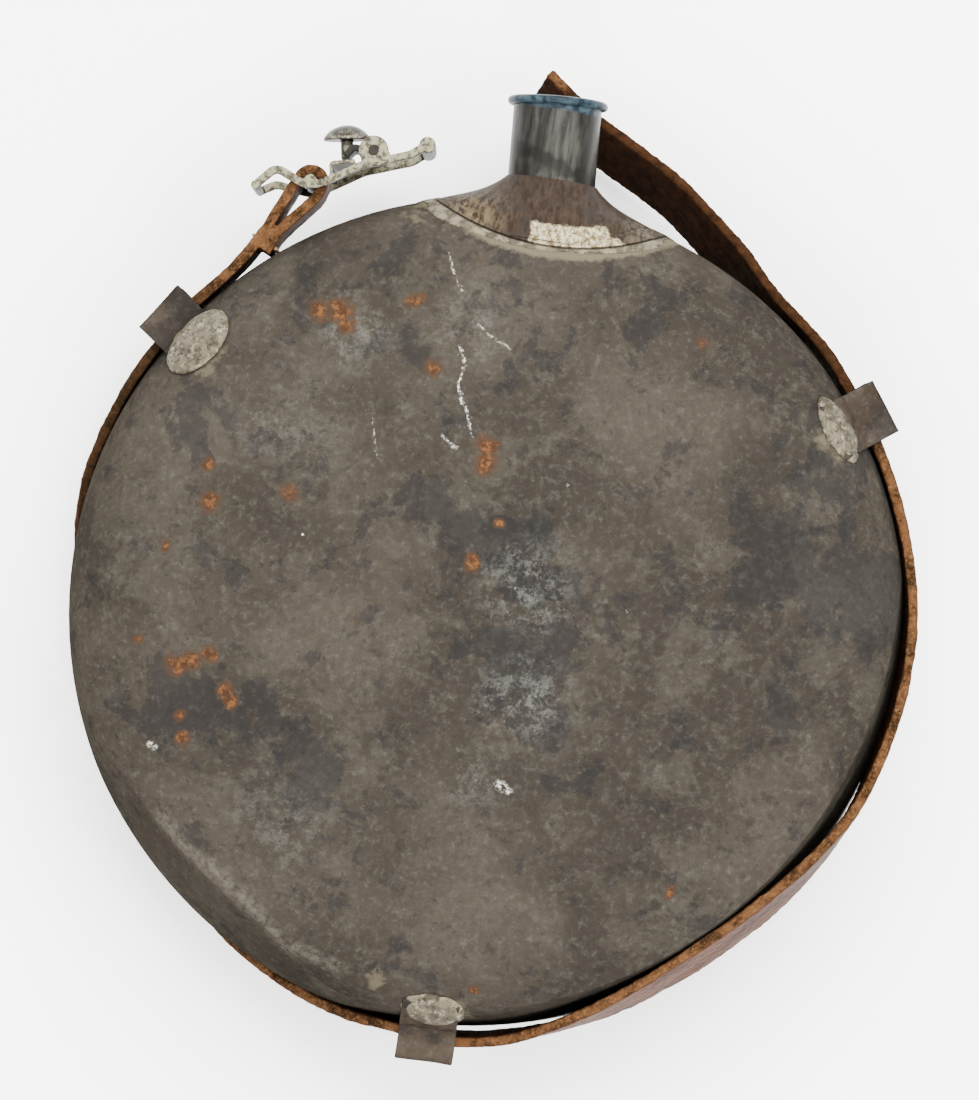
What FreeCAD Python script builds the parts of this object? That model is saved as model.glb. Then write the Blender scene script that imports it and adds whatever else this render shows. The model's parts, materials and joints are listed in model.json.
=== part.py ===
"""Round sheet-metal canteen lying on its back, with its strap and strap clasp.

Millimetres, +Z up. The origin is the centre of the small flat on the back shell that the canteen
rests on. +Y points at the neck and +Z out of the front. Turns are degrees about +Z, counted from
+X towards +Y, and strap turns are counted from +Y.
"""

import FreeCAD, Part
import math
import os
import re

import Sketcher
from FreeCAD import Vector

SIZES = {
    # The two dished shells
    "body_radius": 98.5,
    "seam_height": 34,
    "front_depth": 34,
    "shoulder_radius": 22,
    "lap_half": 3,
    "tin_sheet": 0.5,
    "rest_radius": 22,
    "seam_bead": 1.5,
    # Two places where the rim is flattened by a knock
    "flat_height": 260,
    "right_flat_turn": -46.4,
    "right_flat_depth": 3.1,
    "right_flat_tilt": 16,
    "right_flat_ease": 7.5,
    "left_flat_turn": -123.4,
    "left_flat_depth": 0.8,
    "left_flat_tilt": 22.9,
    "left_flat_ease": 41.5,
    # The neck and its skirt
    "neck_sink": 4,
    "neck_rise": 3.5,
    "neck_lean": 3.8,
    "neck_radius": 10.4,
    "neck_length": 27.5,
    "neck_fit": 0.05,
    "rim_bead": 1,
    "skirt_rise": 5,
    "skirt_lap": 10.3,
    "solder_film": 0.5,
    # Strap loops
    "loop_width": 13.5,
    "loop_sheet": 0.9,
    "loop_reach": 7.3,
    "loop_bend": 0.8,
    "flange_turn": 50,
    "left_loop_turn": 55.35,
    "right_loop_turn": -53.75,
    "bottom_loop_turn": 180.5,
    "solder_turn": 43,
    "solder_rise": 1.7,
    # The leather strap
    "strap_width": 19,
    "strap_thick": 2.5,
    "strap_slack": 1,
    "strap_seat": 0.35,
    "fold_turn": 30.676,
    "fold_out": 11.26,
    "layer_gap": 0.2,
    "thread_radius": 0.45,
    # The clasp
    "bar_radius": 1.6,
    "running_gap": 0.08,
    "rail_thick": 1.9,
    "rail_width": 2.4,
    "side_gap": 0.4,
    "tip_radius": 1.05,
    "nose_radius": 1.9,
    "plate_thick": 0.9,
    "ear_radius": 3.5,
    "pin_across": 13.6,
    "pin_along": 9.3,
    "pin_radius": 1.15,
    "pin_proud": 0.3,
    "hub_radius": 2.5,
    "lever_thick": 1.6,
    "lever_width": 13,
    "pad_radius": 5.5,
    "pad_height": 3.6,
    "pad_edge": 0.7,
    "stud_radius": 1.5,
}

# Drop below the skirt's top, half width across and half width front to back of its sections
SKIRT_SECTIONS = (
    (0.0, 10.75, 10.75),
    (3.5, 15.2, 12.9),
    (5.9, 20.5, 15.3),
    (8.5, 27.0, 18.3),
    (12.5, 33.0, 21.2),
    (16.5, 38.0, 23.0),
    (21.5, 43.0, 24.6),
)

# The same for the outline within which solder lies round the skirt's edge
SOLDER_SECTIONS = (
    (6.5, 26.0, 19.0),
    (10.0, 31.5, 21.5),
    (14.0, 39.0, 23.0),
    (18.0, 44.0, 23.1),
    (21.5, 47.0, 23.2),
)

# How the strap lies: turn from +Y, distance of its middle beyond the rim, rise of its middle
# above the seam, and lean of its upper edge towards the canteen in degrees
STRAP_LIE = (
    (-49.0, 1.9, 0.0, 0.0),
    (-55.35, 2.0, 0.0, 0.0),
    (-61.0, 2.0, -0.5, 0.0),
    (-70.0, 1.8, -5.0, 0.0),
    (-78.0, 1.6, -11.0, 0.0),
    (-87.0, 0.5, -19.5, 0.0),
    (-98.0, -1.3, -23.3, 0.0),
    (-112.0, -1.5, -23.5, 0.0),
    (-126.0, -1.5, -23.5, 0.0),
    (-140.0, -1.4, -23.3, 0.0),
    (-151.0, -0.1, -19.5, 0.0),
    (-161.0, 1.6, -12.0, 0.0),
    (-169.0, 1.7, -5.0, 0.0),
    (-175.0, 1.9, -0.6, 0.0),
    (-180.5, 2.0, 0.0, 0.0),
    (-186.0, 1.9, 0.3, 0.0),
    (-192.0, 1.3, 1.6, 1.5),
    (-199.0, -0.3, 5.0, 7.5),
    (-208.0, -2.6, 9.0, 13.5),
    (-218.0, -4.3, 11.0, 16.0),
    (-227.0, -4.3, 11.0, 16.0),
    (-236.0, -3.2, 10.0, 13.5),
    (-246.0, -1.4, 8.0, 7.0),
    (-257.0, 0.2, 5.6, 0.5),
    (-268.0, 1.0, 3.4, -2.0),
    (-280.0, 1.6, 1.4, -1.0),
    (-292.0, 1.9, 0.3, 0.0),
    (-300.5, 2.8, 0.2, 0.0),
    (-306.25, 3.1, 0.0, 0.0),
    (-312.0, 3.2, -0.7, -0.5),
    (-318.0, 2.3, -3.5, -5.0),
    (-324.5, 1.5, -7.0, -10.5),
    (-330.0, 2.9, -10.5, -15.5),
    (-336.0, 6.3, -14.0, -20.0),
    (-342.0, 9.6, -17.0, -21.5),
    (-348.0, 13.1, -19.7, -23.0),
    (-354.5, 17.6, -21.5, -23.5),
    (-359.5, 23.2, -22.3, -24.0),
    (-362.8, 28.9, -22.8, -24.0),
)

# Where the neck's own axis starts, with its lean about a point on the rim
NECK_PLACE = (
    "placement(vector(0; body_radius + neck_rise; seam_height); rotation(neck_lean; 0; 0))"
    " * placement(vector(0; -neck_sink - neck_rise; 0); rotation(0; 0; 0))"
)
LOOP_GAP = "strap_width / 2 + strap_slack"

# Half length out from the rim, half width along the rim and shift along the rim of each pad
SOLDER_PADS = {
    ("left", "front"): (7.6, 9.2, -0.4),
    ("left", "back"): (5.5, 6.6, 0.4),
    ("right", "front"): (4.7, 8.6, 0.3),
    ("right", "back"): (4.8, 7.0, -0.3),
    ("bottom", "front"): (5.3, 7.6, 0.6),
    ("bottom", "back"): (5.2, 7.0, 0.0),
}

# Headings of the folded clasp end of the strap from its inner layer round the bar and back, the
# lengths of its inner runs and of its last run on to the rim, and the radii of its inner bends
FOLD_HEADINGS = {"neck": 50.0, "rise": 74.0, "top": 160.0, "back": 246.0}
FOLD_RUNS = {"cut": 5.4, "rise": 5.2, "rim": 3.1}
FOLD_BENDS = {"waist": 12.0, "low": 9.0}

# Heights of the stitches from the strap's middle, and half the height of one stitch
STITCH_ROWS = (-6.0, -2.0, 2.0, 6.0)
STITCH_HALF = 1.1

# Bend points of the clasp's side rails from its bar, across and along, with each bend's radius
NEAR_RAIL = (
    (-12.6, -2.8, 0),
    (-8.4, 2, 2.4),
    (0.2, -1.7, 7.0),
    (11.4, 5.5, 10.0),
    (22.4, 9.6, 6.0),
    (25.9, 12.4, 0),
)
FAR_RAIL = (
    (-12.6, -2.8, 0),
    (-8.9, -0.5, 3.0),
    (0.2, -1.7, 7.0),
    (11.4, 5.5, 10.0),
    (22.4, 9.6, 6.0),
    (25.9, 12.4, 0),
)
BASE_PLATE = ((4.8, 1.8, 0), (4.1, 4.8, 0.7), (9.6, 6.2, 0))
LEVER_STEM = ((13.6, 9.3, 0), (8.6, 9.8, 1.2), (7.0, 7.3, 0))
PAD_SEAT = (6.6, 11.5)
PAD_TILT = 10.0

os.makedirs("parts", exist_ok=True)
doc = FreeCAD.newDocument("canteen")
sheet = doc.addObject("Spreadsheet::Sheet", "Sizes")
for row, (alias, number) in enumerate(SIZES.items(), start=1):
    sheet.set(f"A{row}", alias)
    sheet.set(f"B{row}", str(number))
    sheet.setAlias(f"B{row}", alias)
doc.recompute()

NODES = []


def cells(text):
    """Point each size word of an expression at its cell of the sheet."""
    return re.sub(r"[a-z_]+", lambda w: f"Sizes.{w[0]}" if w[0] in SIZES else w[0], text)


def value(text):
    """The number that an expression in size words has."""
    return float(sheet.evalExpression(cells(text)))


def bind(thing, **sizes):
    """Tie properties of a document object to expressions in size words."""
    for prop, text in sizes.items():
        thing.setExpression(prop.replace("__", "."), cells(text))
    return thing


def add(kind, name, **sizes):
    """A document object of a kind, with its sizes tied to the sheet."""
    return bind(doc.addObject(kind, name), **sizes)


def join(kind, name, base, tool):
    """A cut, or another boolean of two objects."""
    result = doc.addObject(kind, name)
    result.Base = base
    result.Tool = tool
    return result


def cut_all(name, base, tools):
    """The base with each tool cut from it in turn."""
    for number, tool in enumerate(tools, start=1):
        base = join("Part::Cut", f"{name}_cut_{number}", base, tool)
    return base


def node(thing, label):
    """Mark an object as a finished piece of the canteen."""
    thing.Label = label
    NODES.append(thing)
    return thing


class Outline:
    """A closed sketch outline whose points and sizes are tied together and to the sheet."""

    START, END, CENTRE = 1, 2, 3
    ORIGIN, UPRIGHT = -1, -2

    def __init__(self, sketch):
        """Keep the sketch that the edges and constraints go into."""
        self.sketch = sketch

    def line(self, start, end):
        """A straight edge between two points."""
        edge = Part.LineSegment(Vector(*start, 0), Vector(*end, 0))
        return self.sketch.addGeometry(edge, False)

    def arc(self, centre, radius, start, end):
        """An arc drawn counterclockwise between two angles in radians."""
        circle = Part.Circle(Vector(*centre, 0), Vector(0, 0, 1), radius)
        return self.sketch.addGeometry(Part.ArcOfCircle(circle, start, end), False)

    def tie(self, kind, *refs):
        """A constraint with no size of its own."""
        self.sketch.addConstraint(Sketcher.Constraint(kind, *refs))

    def size(self, kind, refs, text):
        """A constraint whose size is an expression in size words."""
        number = abs(value(text))
        index = self.sketch.addConstraint(Sketcher.Constraint(kind, *refs, number))
        self.sketch.setExpression(f"Constraints[{index}]", cells(text))

    def place(self, edge, point, across, along):
        """Fix a point of an edge at distances from the sketch's origin."""
        self.size("DistanceX", (self.ORIGIN, 1, edge, point), across)
        self.size("DistanceY", (self.ORIGIN, 1, edge, point), along)


def dish(name, rim, corner, lap, edge, pole, front):
    """A solid dish, turned about +Z: a crown arc, a shoulder arc and a straight lap at the rim.

    The front dish rises to a pole on the axis and the back one falls to a resting flat.
    """
    up = 1 if front else -1
    sketch = doc.addObject("Sketcher::SketchObject", f"{name}_profile")
    sketch.Placement = FreeCAD.Placement(Vector(), FreeCAD.Rotation(Vector(1, 0, 0), 90))
    radius, bend = value(rim), value(corner)
    lap_z, edge_z, pole_z = value(lap), value(edge), value(pole)
    flat = 0 if front else value("rest_radius")
    # The crown passes the flat's corner and meets the shoulder arc with a shared tangent
    hub = radius - bend
    rise = up * (pole_z - lap_z)
    low, high = radius, radius * 100
    for _ in range(80):
        crown = (low + high) / 2
        drop = math.sqrt(crown**2 - flat**2) - rise
        if math.hypot(hub, drop) < crown - bend:
            high = crown
        else:
            low = crown
    centre_z = lap_z - up * drop
    turn = math.atan2(drop, hub)
    top = math.atan2(math.sqrt(crown**2 - flat**2), flat)
    out = Outline(sketch)
    base = out.line((0, edge_z), (radius, edge_z))
    band = out.line((radius, edge_z), (radius, lap_z))
    if front:
        shoulder = out.arc((hub, lap_z), bend, 0, turn)
        crown_arc = out.arc((0, centre_z), crown, turn, top)
        near, far = Outline.START, Outline.END
    else:
        shoulder = out.arc((hub, lap_z), bend, -turn, 0)
        crown_arc = out.arc((0, centre_z), crown, -top, -turn)
        near, far = Outline.END, Outline.START
    out.tie("Coincident", base, Outline.END, band, Outline.START)
    out.tie("Horizontal", base)
    out.tie("Vertical", band)
    out.tie("Tangent", band, Outline.END, shoulder, near)
    out.tie("Tangent", shoulder, far, crown_arc, near)
    out.tie("PointOnObject", crown_arc, Outline.CENTRE, Outline.UPRIGHT)
    if front:
        axis = out.line((0, pole_z), (0, edge_z))
        out.tie("Coincident", crown_arc, far, axis, Outline.START)
    else:
        rest = out.line((flat, pole_z), (0, pole_z))
        axis = out.line((0, pole_z), (0, edge_z))
        out.tie("Coincident", crown_arc, far, rest, Outline.START)
        out.tie("Coincident", rest, Outline.END, axis, Outline.START)
        out.tie("Horizontal", rest)
        out.size("DistanceX", (Outline.ORIGIN, 1, rest, Outline.START), "rest_radius")
    out.tie("Coincident", axis, Outline.END, base, Outline.START)
    out.tie("PointOnObject", axis, Outline.START, Outline.UPRIGHT)
    out.tie("PointOnObject", axis, Outline.END, Outline.UPRIGHT)
    out.size("DistanceX", (Outline.ORIGIN, 1, base, Outline.END), rim)
    out.size("DistanceY", (Outline.ORIGIN, 1, base, Outline.END), edge)
    out.size("DistanceY", (Outline.ORIGIN, 1, band, Outline.END), lap)
    out.size("Radius", (shoulder,), corner)
    if pole_z:
        out.size("DistanceY", (Outline.ORIGIN, 1, axis, Outline.START), pole)
    else:
        out.tie("PointOnObject", axis, Outline.START, Outline.ORIGIN)
    turned = doc.addObject("Part::Revolution", name)
    turned.Source = sketch
    turned.Axis = Vector(0, 0, 1)
    turned.Angle = 360
    turned.Solid = True
    return turned


def flattened(dished, layer):
    """A dish with the two knocked flats of its rim, as deep as its layer of sheet lies."""
    for side in ("right", "left"):
        radius = f"body_radius + {side}_flat_ease - {layer} * tin_sheet"
        tool = add(
            "Part::Cylinder",
            f"{side}_flat_{layer}_{dished.Name}",
            Radius=radius,
            Height="flat_height",
            Placement=(
                f"placement(vector(0; 0; seam_height); rotation({side}_flat_turn; 0; 0))"
                f" * placement(vector(body_radius - {side}_flat_depth"
                f" - (body_radius + {side}_flat_ease) / cos({side}_flat_tilt); 0; 0);"
                f" rotation(0; -{side}_flat_tilt; 0))"
                " * placement(vector(0; 0; -flat_height / 2); rotation(0; 0; 0))"
            ),
        )
        dished = join("Part::Common", f"{dished.Name}_{side}", dished, tool)
    return dished


def shells():
    """The front shell laps over the back shell at the rim, and a solder bead seals the lap."""
    front = flattened(
        dish("front_outside", "body_radius", "shoulder_radius", "seam_height + lap_half",
             "seam_height - lap_half", "seam_height + front_depth", True), 0)
    front_in = flattened(
        dish("front_inside", "body_radius - tin_sheet", "shoulder_radius - tin_sheet",
             "seam_height + lap_half", "seam_height - lap_half",
             "seam_height + front_depth - tin_sheet", True), 1)
    back = flattened(
        dish("back_outside", "body_radius - tin_sheet", "shoulder_radius - tin_sheet",
             "seam_height - lap_half", "seam_height + lap_half", "0", False), 1)
    back_in = flattened(
        dish("back_inside", "body_radius - 2 * tin_sheet", "shoulder_radius - 2 * tin_sheet",
             "seam_height - lap_half", "seam_height + lap_half", "tin_sheet", False), 2)
    hole = add(
        "Part::Cylinder",
        "mouth_hole",
        Radius="neck_radius + neck_fit",
        Height="neck_length",
        Placement=NECK_PLACE + " * placement(vector(0; 0; 0); rotation(0; 0; -90))",
    )
    node(cut_all("front_shell", front, (front_in, hole)), "front_shell")
    node(cut_all("back_shell", back, (back_in, hole)), "back_shell")
    bead = add(
        "Part::Cone",
        "seam_bead_cone",
        Radius1="body_radius - tin_sheet",
        Radius2="body_radius",
        Height="seam_bead",
        Placement="placement(vector(0; 0; seam_height - lap_half - seam_bead);"
        " rotation(0; 0; 0))",
    )
    seam = node(cut_all("seam_solder", flattened(bead, 0), (back, hole)), "seam_solder")
    return front, back, seam


def neck():
    """The neck tube and its rolled rim, turned in one piece about the neck's leaning axis."""
    body = doc.addObject("PartDesign::Body", "neck_tube")
    bind(body, Placement=NECK_PLACE)
    sketch = body.newObject("Sketcher::SketchObject", "neck_profile")
    plane = next(f for f in body.Origin.OriginFeatures if f.Role == "XY_Plane")
    sketch.AttachmentSupport = [(plane, "")]
    sketch.MapMode = "FlatFace"
    outer = value("neck_radius")
    inner = value("neck_radius - tin_sheet")
    bead = value("rim_bead")
    length = value("neck_length")
    middle = inner + bead
    meet = length - math.sqrt(bead**2 - (middle - outer) ** 2)
    out = Outline(sketch)
    foot = out.line((inner, 0), (outer, 0))
    outside = out.line((outer, 0), (outer, meet))
    start = math.atan2(meet - length, outer - middle)
    roll = out.arc((middle, length), bead, start, math.pi)
    inside = out.line((inner, length), (inner, 0))
    out.tie("Coincident", foot, Outline.END, outside, Outline.START)
    out.tie("Coincident", outside, Outline.END, roll, Outline.START)
    out.tie("Tangent", roll, Outline.END, inside, Outline.START)
    out.tie("Coincident", inside, Outline.END, foot, Outline.START)
    out.tie("Horizontal", foot)
    out.tie("Vertical", outside)
    out.tie("Vertical", inside)
    out.tie("PointOnObject", foot, Outline.START, Outline.ORIGIN)
    out.size("DistanceX", (Outline.ORIGIN, 1, foot, Outline.START), "neck_radius - tin_sheet")
    out.size("DistanceX", (Outline.ORIGIN, 1, foot, Outline.END), "neck_radius")
    out.size("DistanceY", (Outline.ORIGIN, 1, roll, Outline.CENTRE), "neck_length")
    out.size("Radius", (roll,), "rim_bead")
    turned = body.newObject("PartDesign::Revolution", "neck_turned")
    turned.Profile = sketch
    turned.ReferenceAxis = (sketch, ["V_Axis"])
    turned.Angle = 360
    body.Tip = turned
    return node(body, "neck_tube")


def oval_loft(name, sections):
    """A solid through ovals that stand square to +Y, given as expressions in size words."""
    ovals = []
    for number, (along, across, deep) in enumerate(sections, start=1):
        oval = add(
            "Part::Ellipse",
            f"{name}_oval_{number}",
            MajorRadius=across,
            MinorRadius=deep,
            Placement=f"placement(vector(0; {along}; seam_height); rotation(0; 0; -90))",
        )
        ovals.append(oval)
    loft = doc.addObject("Part::Loft", name)
    loft.Sections = ovals
    loft.Solid = True
    loft.Ruled = False
    return loft


def skirt(front, back, seam):
    """The flared collar that carries the neck on the rim, and the solder round its edge."""
    outside = []
    inside = []
    around = []
    for drop, across, deep in SKIRT_SECTIONS:
        level = f"body_radius + skirt_rise - {drop}"
        outside.append((level, f"{across}", f"{deep}"))
        inside.append((f"{level} - tin_sheet", f"{across} - tin_sheet / 2",
                       f"{deep} - tin_sheet / 2"))
    for drop, across, deep in SOLDER_SECTIONS:
        level = f"body_radius + skirt_rise - {drop}"
        around.append((level, f"{across}", f"{deep}"))
    # The collar's sheet is trimmed straight across where it laps on to the shells
    below = add(
        "Part::Box",
        "skirt_trim",
        Length="2 * body_radius",
        Width="body_radius",
        Height="2 * seam_height",
        Placement="placement(vector(-body_radius; -skirt_lap; 0); rotation(0; 0; 0))",
    )
    outer = cut_all("skirt_trimmed", oval_loft("skirt_outside", outside), (below,))
    inner = oval_loft("skirt_inside", inside)
    # The solder is a film on both shells, inside an outline a little wider than the collar
    crust = doc.addObject("Part::MultiFuse", "skirt_crust")
    crust.Shapes = [
        dish("front_crust", "body_radius + solder_film", "shoulder_radius + solder_film",
             "seam_height + lap_half", "seam_height - lap_half",
             "seam_height + front_depth", True),
        dish("back_crust", "body_radius - tin_sheet + solder_film",
             "shoulder_radius - tin_sheet + solder_film",
             "seam_height - lap_half", "seam_height + lap_half", "0", False),
    ]
    bead = join("Part::Common", "skirt_film", oval_loft("skirt_film_outline", around), crust)
    core = add(
        "Part::Cylinder",
        "neck_core",
        Radius="neck_radius",
        Height="neck_length",
        Placement=NECK_PLACE + " * placement(vector(0; 0; 0); rotation(0; 0; -90))",
    )
    node(cut_all("neck_skirt", outer, (inner, core, front, back, seam)), "neck_skirt")
    node(cut_all("skirt_solder", bead, (front, back, seam, core, outer)), "skirt_solder")


def strap_loop(side):
    """One bent strip that holds the strap: web, two legs and two flanges on the shoulders."""
    name = f"{side}_loop"
    body = doc.addObject("PartDesign::Body", name)
    bind(body, Placement=f"placement(vector(0; 0; seam_height); rotation({side}_loop_turn; 0; 0))")
    sketch = body.newObject("Sketcher::SketchObject", f"{name}_profile")
    plane = next(f for f in body.Origin.OriginFeatures if f.Role == "YZ_Plane")
    sketch.AttachmentSupport = [(plane, "")]
    sketch.MapMode = "FlatFace"
    reach = value("body_radius + loop_reach")
    thick = value("loop_sheet")
    bend = value("loop_bend")
    gap = value(LOOP_GAP)
    lap = value("lap_half")
    hub = value("body_radius - shoulder_radius")
    curve = value("shoulder_radius")
    end = math.radians(value("flange_turn"))
    inner_start = math.asin((gap - lap) / curve)
    outer_start = math.asin((gap + thick - lap) / (curve + thick))
    outer = curve + thick
    corner = (reach - thick - bend, gap - bend)
    out = Outline(sketch)
    web = out.line((reach, 0), (reach, corner[1]))
    outer_bend = out.arc(corner, bend + thick, 0, math.pi / 2)
    leg = out.line((corner[0], gap + thick), (hub + outer * math.cos(outer_start), gap + thick))
    top = out.arc((hub, lap), outer, outer_start, end)
    cap = out.line((hub + outer * math.cos(end), lap + outer * math.sin(end)),
                   (hub + curve * math.cos(end), lap + curve * math.sin(end)))
    seat = out.arc((hub, lap), curve, inner_start, end)
    under = out.line((hub + curve * math.cos(inner_start), gap), (corner[0], gap))
    inner_bend = out.arc(corner, bend, 0, math.pi / 2)
    inside = out.line((reach - thick, corner[1]), (reach - thick, 0))
    close = out.line((reach - thick, 0), (reach, 0))
    start, finish, centre = Outline.START, Outline.END, Outline.CENTRE
    out.tie("Tangent", web, finish, outer_bend, start)
    out.tie("Tangent", outer_bend, finish, leg, start)
    out.tie("Coincident", leg, finish, top, start)
    out.tie("Coincident", top, finish, cap, start)
    out.tie("Coincident", cap, finish, seat, finish)
    out.tie("Coincident", seat, start, under, start)
    out.tie("Tangent", under, finish, inner_bend, finish)
    out.tie("Tangent", inner_bend, start, inside, start)
    out.tie("Coincident", inside, finish, close, start)
    out.tie("Coincident", close, finish, web, start)
    out.tie("Coincident", inner_bend, centre, outer_bend, centre)
    out.tie("Coincident", seat, centre, top, centre)
    out.tie("Vertical", web)
    out.tie("Vertical", inside)
    out.tie("Horizontal", leg)
    out.tie("Horizontal", under)
    out.tie("PointOnObject", close, start, Outline.ORIGIN)
    out.tie("PointOnObject", close, finish, Outline.ORIGIN)
    out.size("DistanceX", (Outline.ORIGIN, 1, close, finish), "body_radius + loop_reach")
    out.size("DistanceX", (close, start, close, finish), "loop_sheet")
    out.size("DistanceY", (Outline.ORIGIN, 1, under, start), LOOP_GAP)
    out.size("Radius", (inner_bend,), "loop_bend")
    out.size("Radius", (top,), "shoulder_radius + loop_sheet")
    out.size("Radius", (seat,), "shoulder_radius")
    out.place(seat, centre, "body_radius - shoulder_radius", "lap_half")
    out.size("DistanceX", (Outline.ORIGIN, 1, seat, finish),
             "body_radius - shoulder_radius + shoulder_radius * cos(flange_turn)")
    pad = body.newObject("PartDesign::Pad", f"{name}_pad")
    pad.Profile = sketch
    pad.SideType = "Symmetric"
    bind(pad, Length="loop_width")
    mirrored = body.newObject("PartDesign::Mirrored", f"{name}_mirrored")
    mirrored.Originals = [pad]
    mirrored.MirrorPlane = (next(f for f in body.Origin.OriginFeatures if f.Role == "XY_Plane"), [""])
    body.Tip = mirrored
    return node(body, name)


def solder_pad(side, face, loop, front, back):
    """A low blob of solder over the end of one flange, seated on the shell and the flange."""
    length, width, shift = SOLDER_PADS[side, face]
    up = 1 if face == "front" else -1
    hub = "(body_radius - shoulder_radius)"
    blob = add(
        "Part::Ellipsoid",
        f"{side}_{face}_blob",
        Radius1="solder_rise",
        Radius2=f"{length}",
        Radius3=f"{width}",
        Placement=(
            f"placement(vector(0; 0; seam_height); rotation({side}_loop_turn + 90; 0; 0))"
            f" * placement(vector({hub} + shoulder_radius * cos(solder_turn); {shift};"
            f" {up} * (lap_half + shoulder_radius * sin(solder_turn)));"
            f" rotation(0; {-up} * (solder_turn - 90); 0))"
        ),
    )
    name = f"{side}_{face}_solder"
    node(cut_all(name, blob, (front, back, loop)), name)


def bends(points):
    """Straight runs and bends of a strip through bend points, each with its bend radius.

    Each run is (start, end) and each bend (centre, radius, start, end, turn) with turn the
    signed angle of the bend, positive to the left.
    """
    spots = [Vector(x, y, 0) for x, y, _ in points]
    steps = []
    at = spots[0]
    for index in range(1, len(points) - 1):
        before = (spots[index] - spots[index - 1]).normalize()
        after = (spots[index + 1] - spots[index]).normalize()
        turn = math.atan2(before.cross(after).z, before.dot(after))
        radius = points[index][2]
        trim = radius * math.tan(abs(turn) / 2)
        start = spots[index] - before * trim
        end = spots[index] + after * trim
        side = math.copysign(1, turn)
        centre = start + Vector(-before.y, before.x, 0) * (radius * side)
        if (start - at).Length > 1e-6:
            steps.append(("run", at, start))
        steps.append(("bend", centre, radius, start, end, turn))
        at = end
    steps.append(("run", at, spots[-1]))
    return steps


def strip_face(steps, thick):
    """The face of a bent strip of even thickness along runs and bends."""
    half = thick / 2

    def side_edges(side):
        edges = []
        for step in steps:
            if step[0] == "run":
                _, start, end = step
                along = (end - start).normalize()
                shift = Vector(-along.y, along.x, 0) * (side * half)
                edges.append(Part.LineSegment(start + shift, end + shift).toShape())
                continue
            _, centre, radius, start, end, turn = step
            grow = (radius - side * math.copysign(half, turn)) / radius
            first = centre + (start - centre) * grow
            last = centre + (end - centre) * grow
            spin = FreeCAD.Rotation(Vector(0, 0, 1), math.degrees(turn) / 2)
            middle = centre + spin.multVec(start - centre) * grow
            edges.append(Part.Arc(first, middle, last).toShape())
        return edges

    left = side_edges(1)
    right = side_edges(-1)
    caps = [
        Part.LineSegment(left[0].Vertexes[0].Point, right[0].Vertexes[0].Point).toShape(),
        Part.LineSegment(left[-1].Vertexes[-1].Point, right[-1].Vertexes[-1].Point).toShape(),
    ]
    wire = Part.Wire(Part.__sortEdges__(left + right + caps))
    return Part.Face(wire)


def extruded(face, low, high):
    """A face in the XY plane drawn up from one height to another."""
    face = face.translated(Vector(0, 0, low))
    return face.extrude(Vector(0, 0, high - low))


def bar_spot():
    """The place of the clasp's bar, off the rim at its own turn."""
    far = value("body_radius + fold_out")
    turn = math.radians(value("fold_turn"))
    return Vector(-far * math.sin(turn), far * math.cos(turn), 0)


def fold_steps():
    """The clasp end of the strap: its cut end, the fold round the bar, and the way back."""
    thick = value("strap_thick")
    radius = value("bar_radius + running_gap") + thick / 2
    heading = {name: math.radians(turn) for name, turn in FOLD_HEADINGS.items()}
    bar = bar_spot()

    def tangent_corner(first, second):
        middle = (heading[first] + heading[second]) / 2
        far = radius / math.cos((heading[second] - heading[first]) / 2)
        return bar + Vector(math.sin(middle), -math.cos(middle), 0) * far

    right = tangent_corner("rise", "top")
    left = tangent_corner("top", "back")
    ways = {name: Vector(math.cos(turn), math.sin(turn), 0) for name, turn in heading.items()}
    back = ways["back"]
    # The inner layer closes in on the outer one until its cut end lies flat against it
    inward = Vector(-back.y, back.x, 0)
    low = right - ways["rise"] * FOLD_RUNS["rise"]
    spread = (low - left).dot(inward) - thick - value("layer_gap")
    waist = low - ways["neck"] * (spread / ways["neck"].dot(inward))
    cut = waist + back * FOLD_RUNS["cut"]
    # The outer layer runs straight back from the fold and bends once on to the rim
    far = strap_reach(*STRAP_LIE[0])
    angle = math.radians(STRAP_LIE[0][0])
    end = Vector(far * math.sin(angle), far * math.cos(angle), 0)
    way_end = Vector(-math.cos(angle), math.sin(angle), 0)
    gap = end - left
    across = back.x * way_end.y - back.y * way_end.x
    run = (gap.x * way_end.y - gap.y * way_end.x) / across
    corner = left + back * run
    swing = math.atan2(across, back.dot(way_end))
    rim_bend = ((end - corner).Length - FOLD_RUNS["rim"]) / math.tan(abs(swing) / 2)
    points = [
        (cut.x, cut.y, 0),
        (waist.x, waist.y, FOLD_BENDS["waist"]),
        (low.x, low.y, FOLD_BENDS["low"]),
        (right.x, right.y, radius),
        (left.x, left.y, radius),
        (corner.x, corner.y, rim_bend),
        (end.x, end.y, 0),
    ]
    return bends(points)


def rim_reach(turn, rise):
    """How far the body reaches from its axis at a strap turn and a height above the seam."""
    lap = value("lap_half")
    curve = value("shoulder_radius")
    over = max(0, min(abs(rise) - lap, curve))
    reach = value("body_radius") - curve + math.sqrt(curve**2 - over**2)
    for side in ("right", "left"):
        radius = value(f"body_radius + {side}_flat_ease")
        aside = math.radians(90 - turn - value(f"{side}_flat_turn"))
        tilt = math.radians(value(f"{side}_flat_tilt"))
        if math.cos(aside) <= 0:
            continue
        # The level cut through the leaning cylinder is an oval, met by a ray from the axis
        face = value(f"body_radius - {side}_flat_depth")
        centre = face - radius / math.cos(tilt) - rise * math.tan(tilt)
        squash = math.cos(tilt) ** 2
        spread = squash * math.cos(aside) ** 2 + math.sin(aside) ** 2
        middle = squash * math.cos(aside) * centre
        rest = squash * centre**2 - radius**2
        reach = min(reach, (middle + math.sqrt(middle**2 - spread * rest)) / spread)
    return reach


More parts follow.
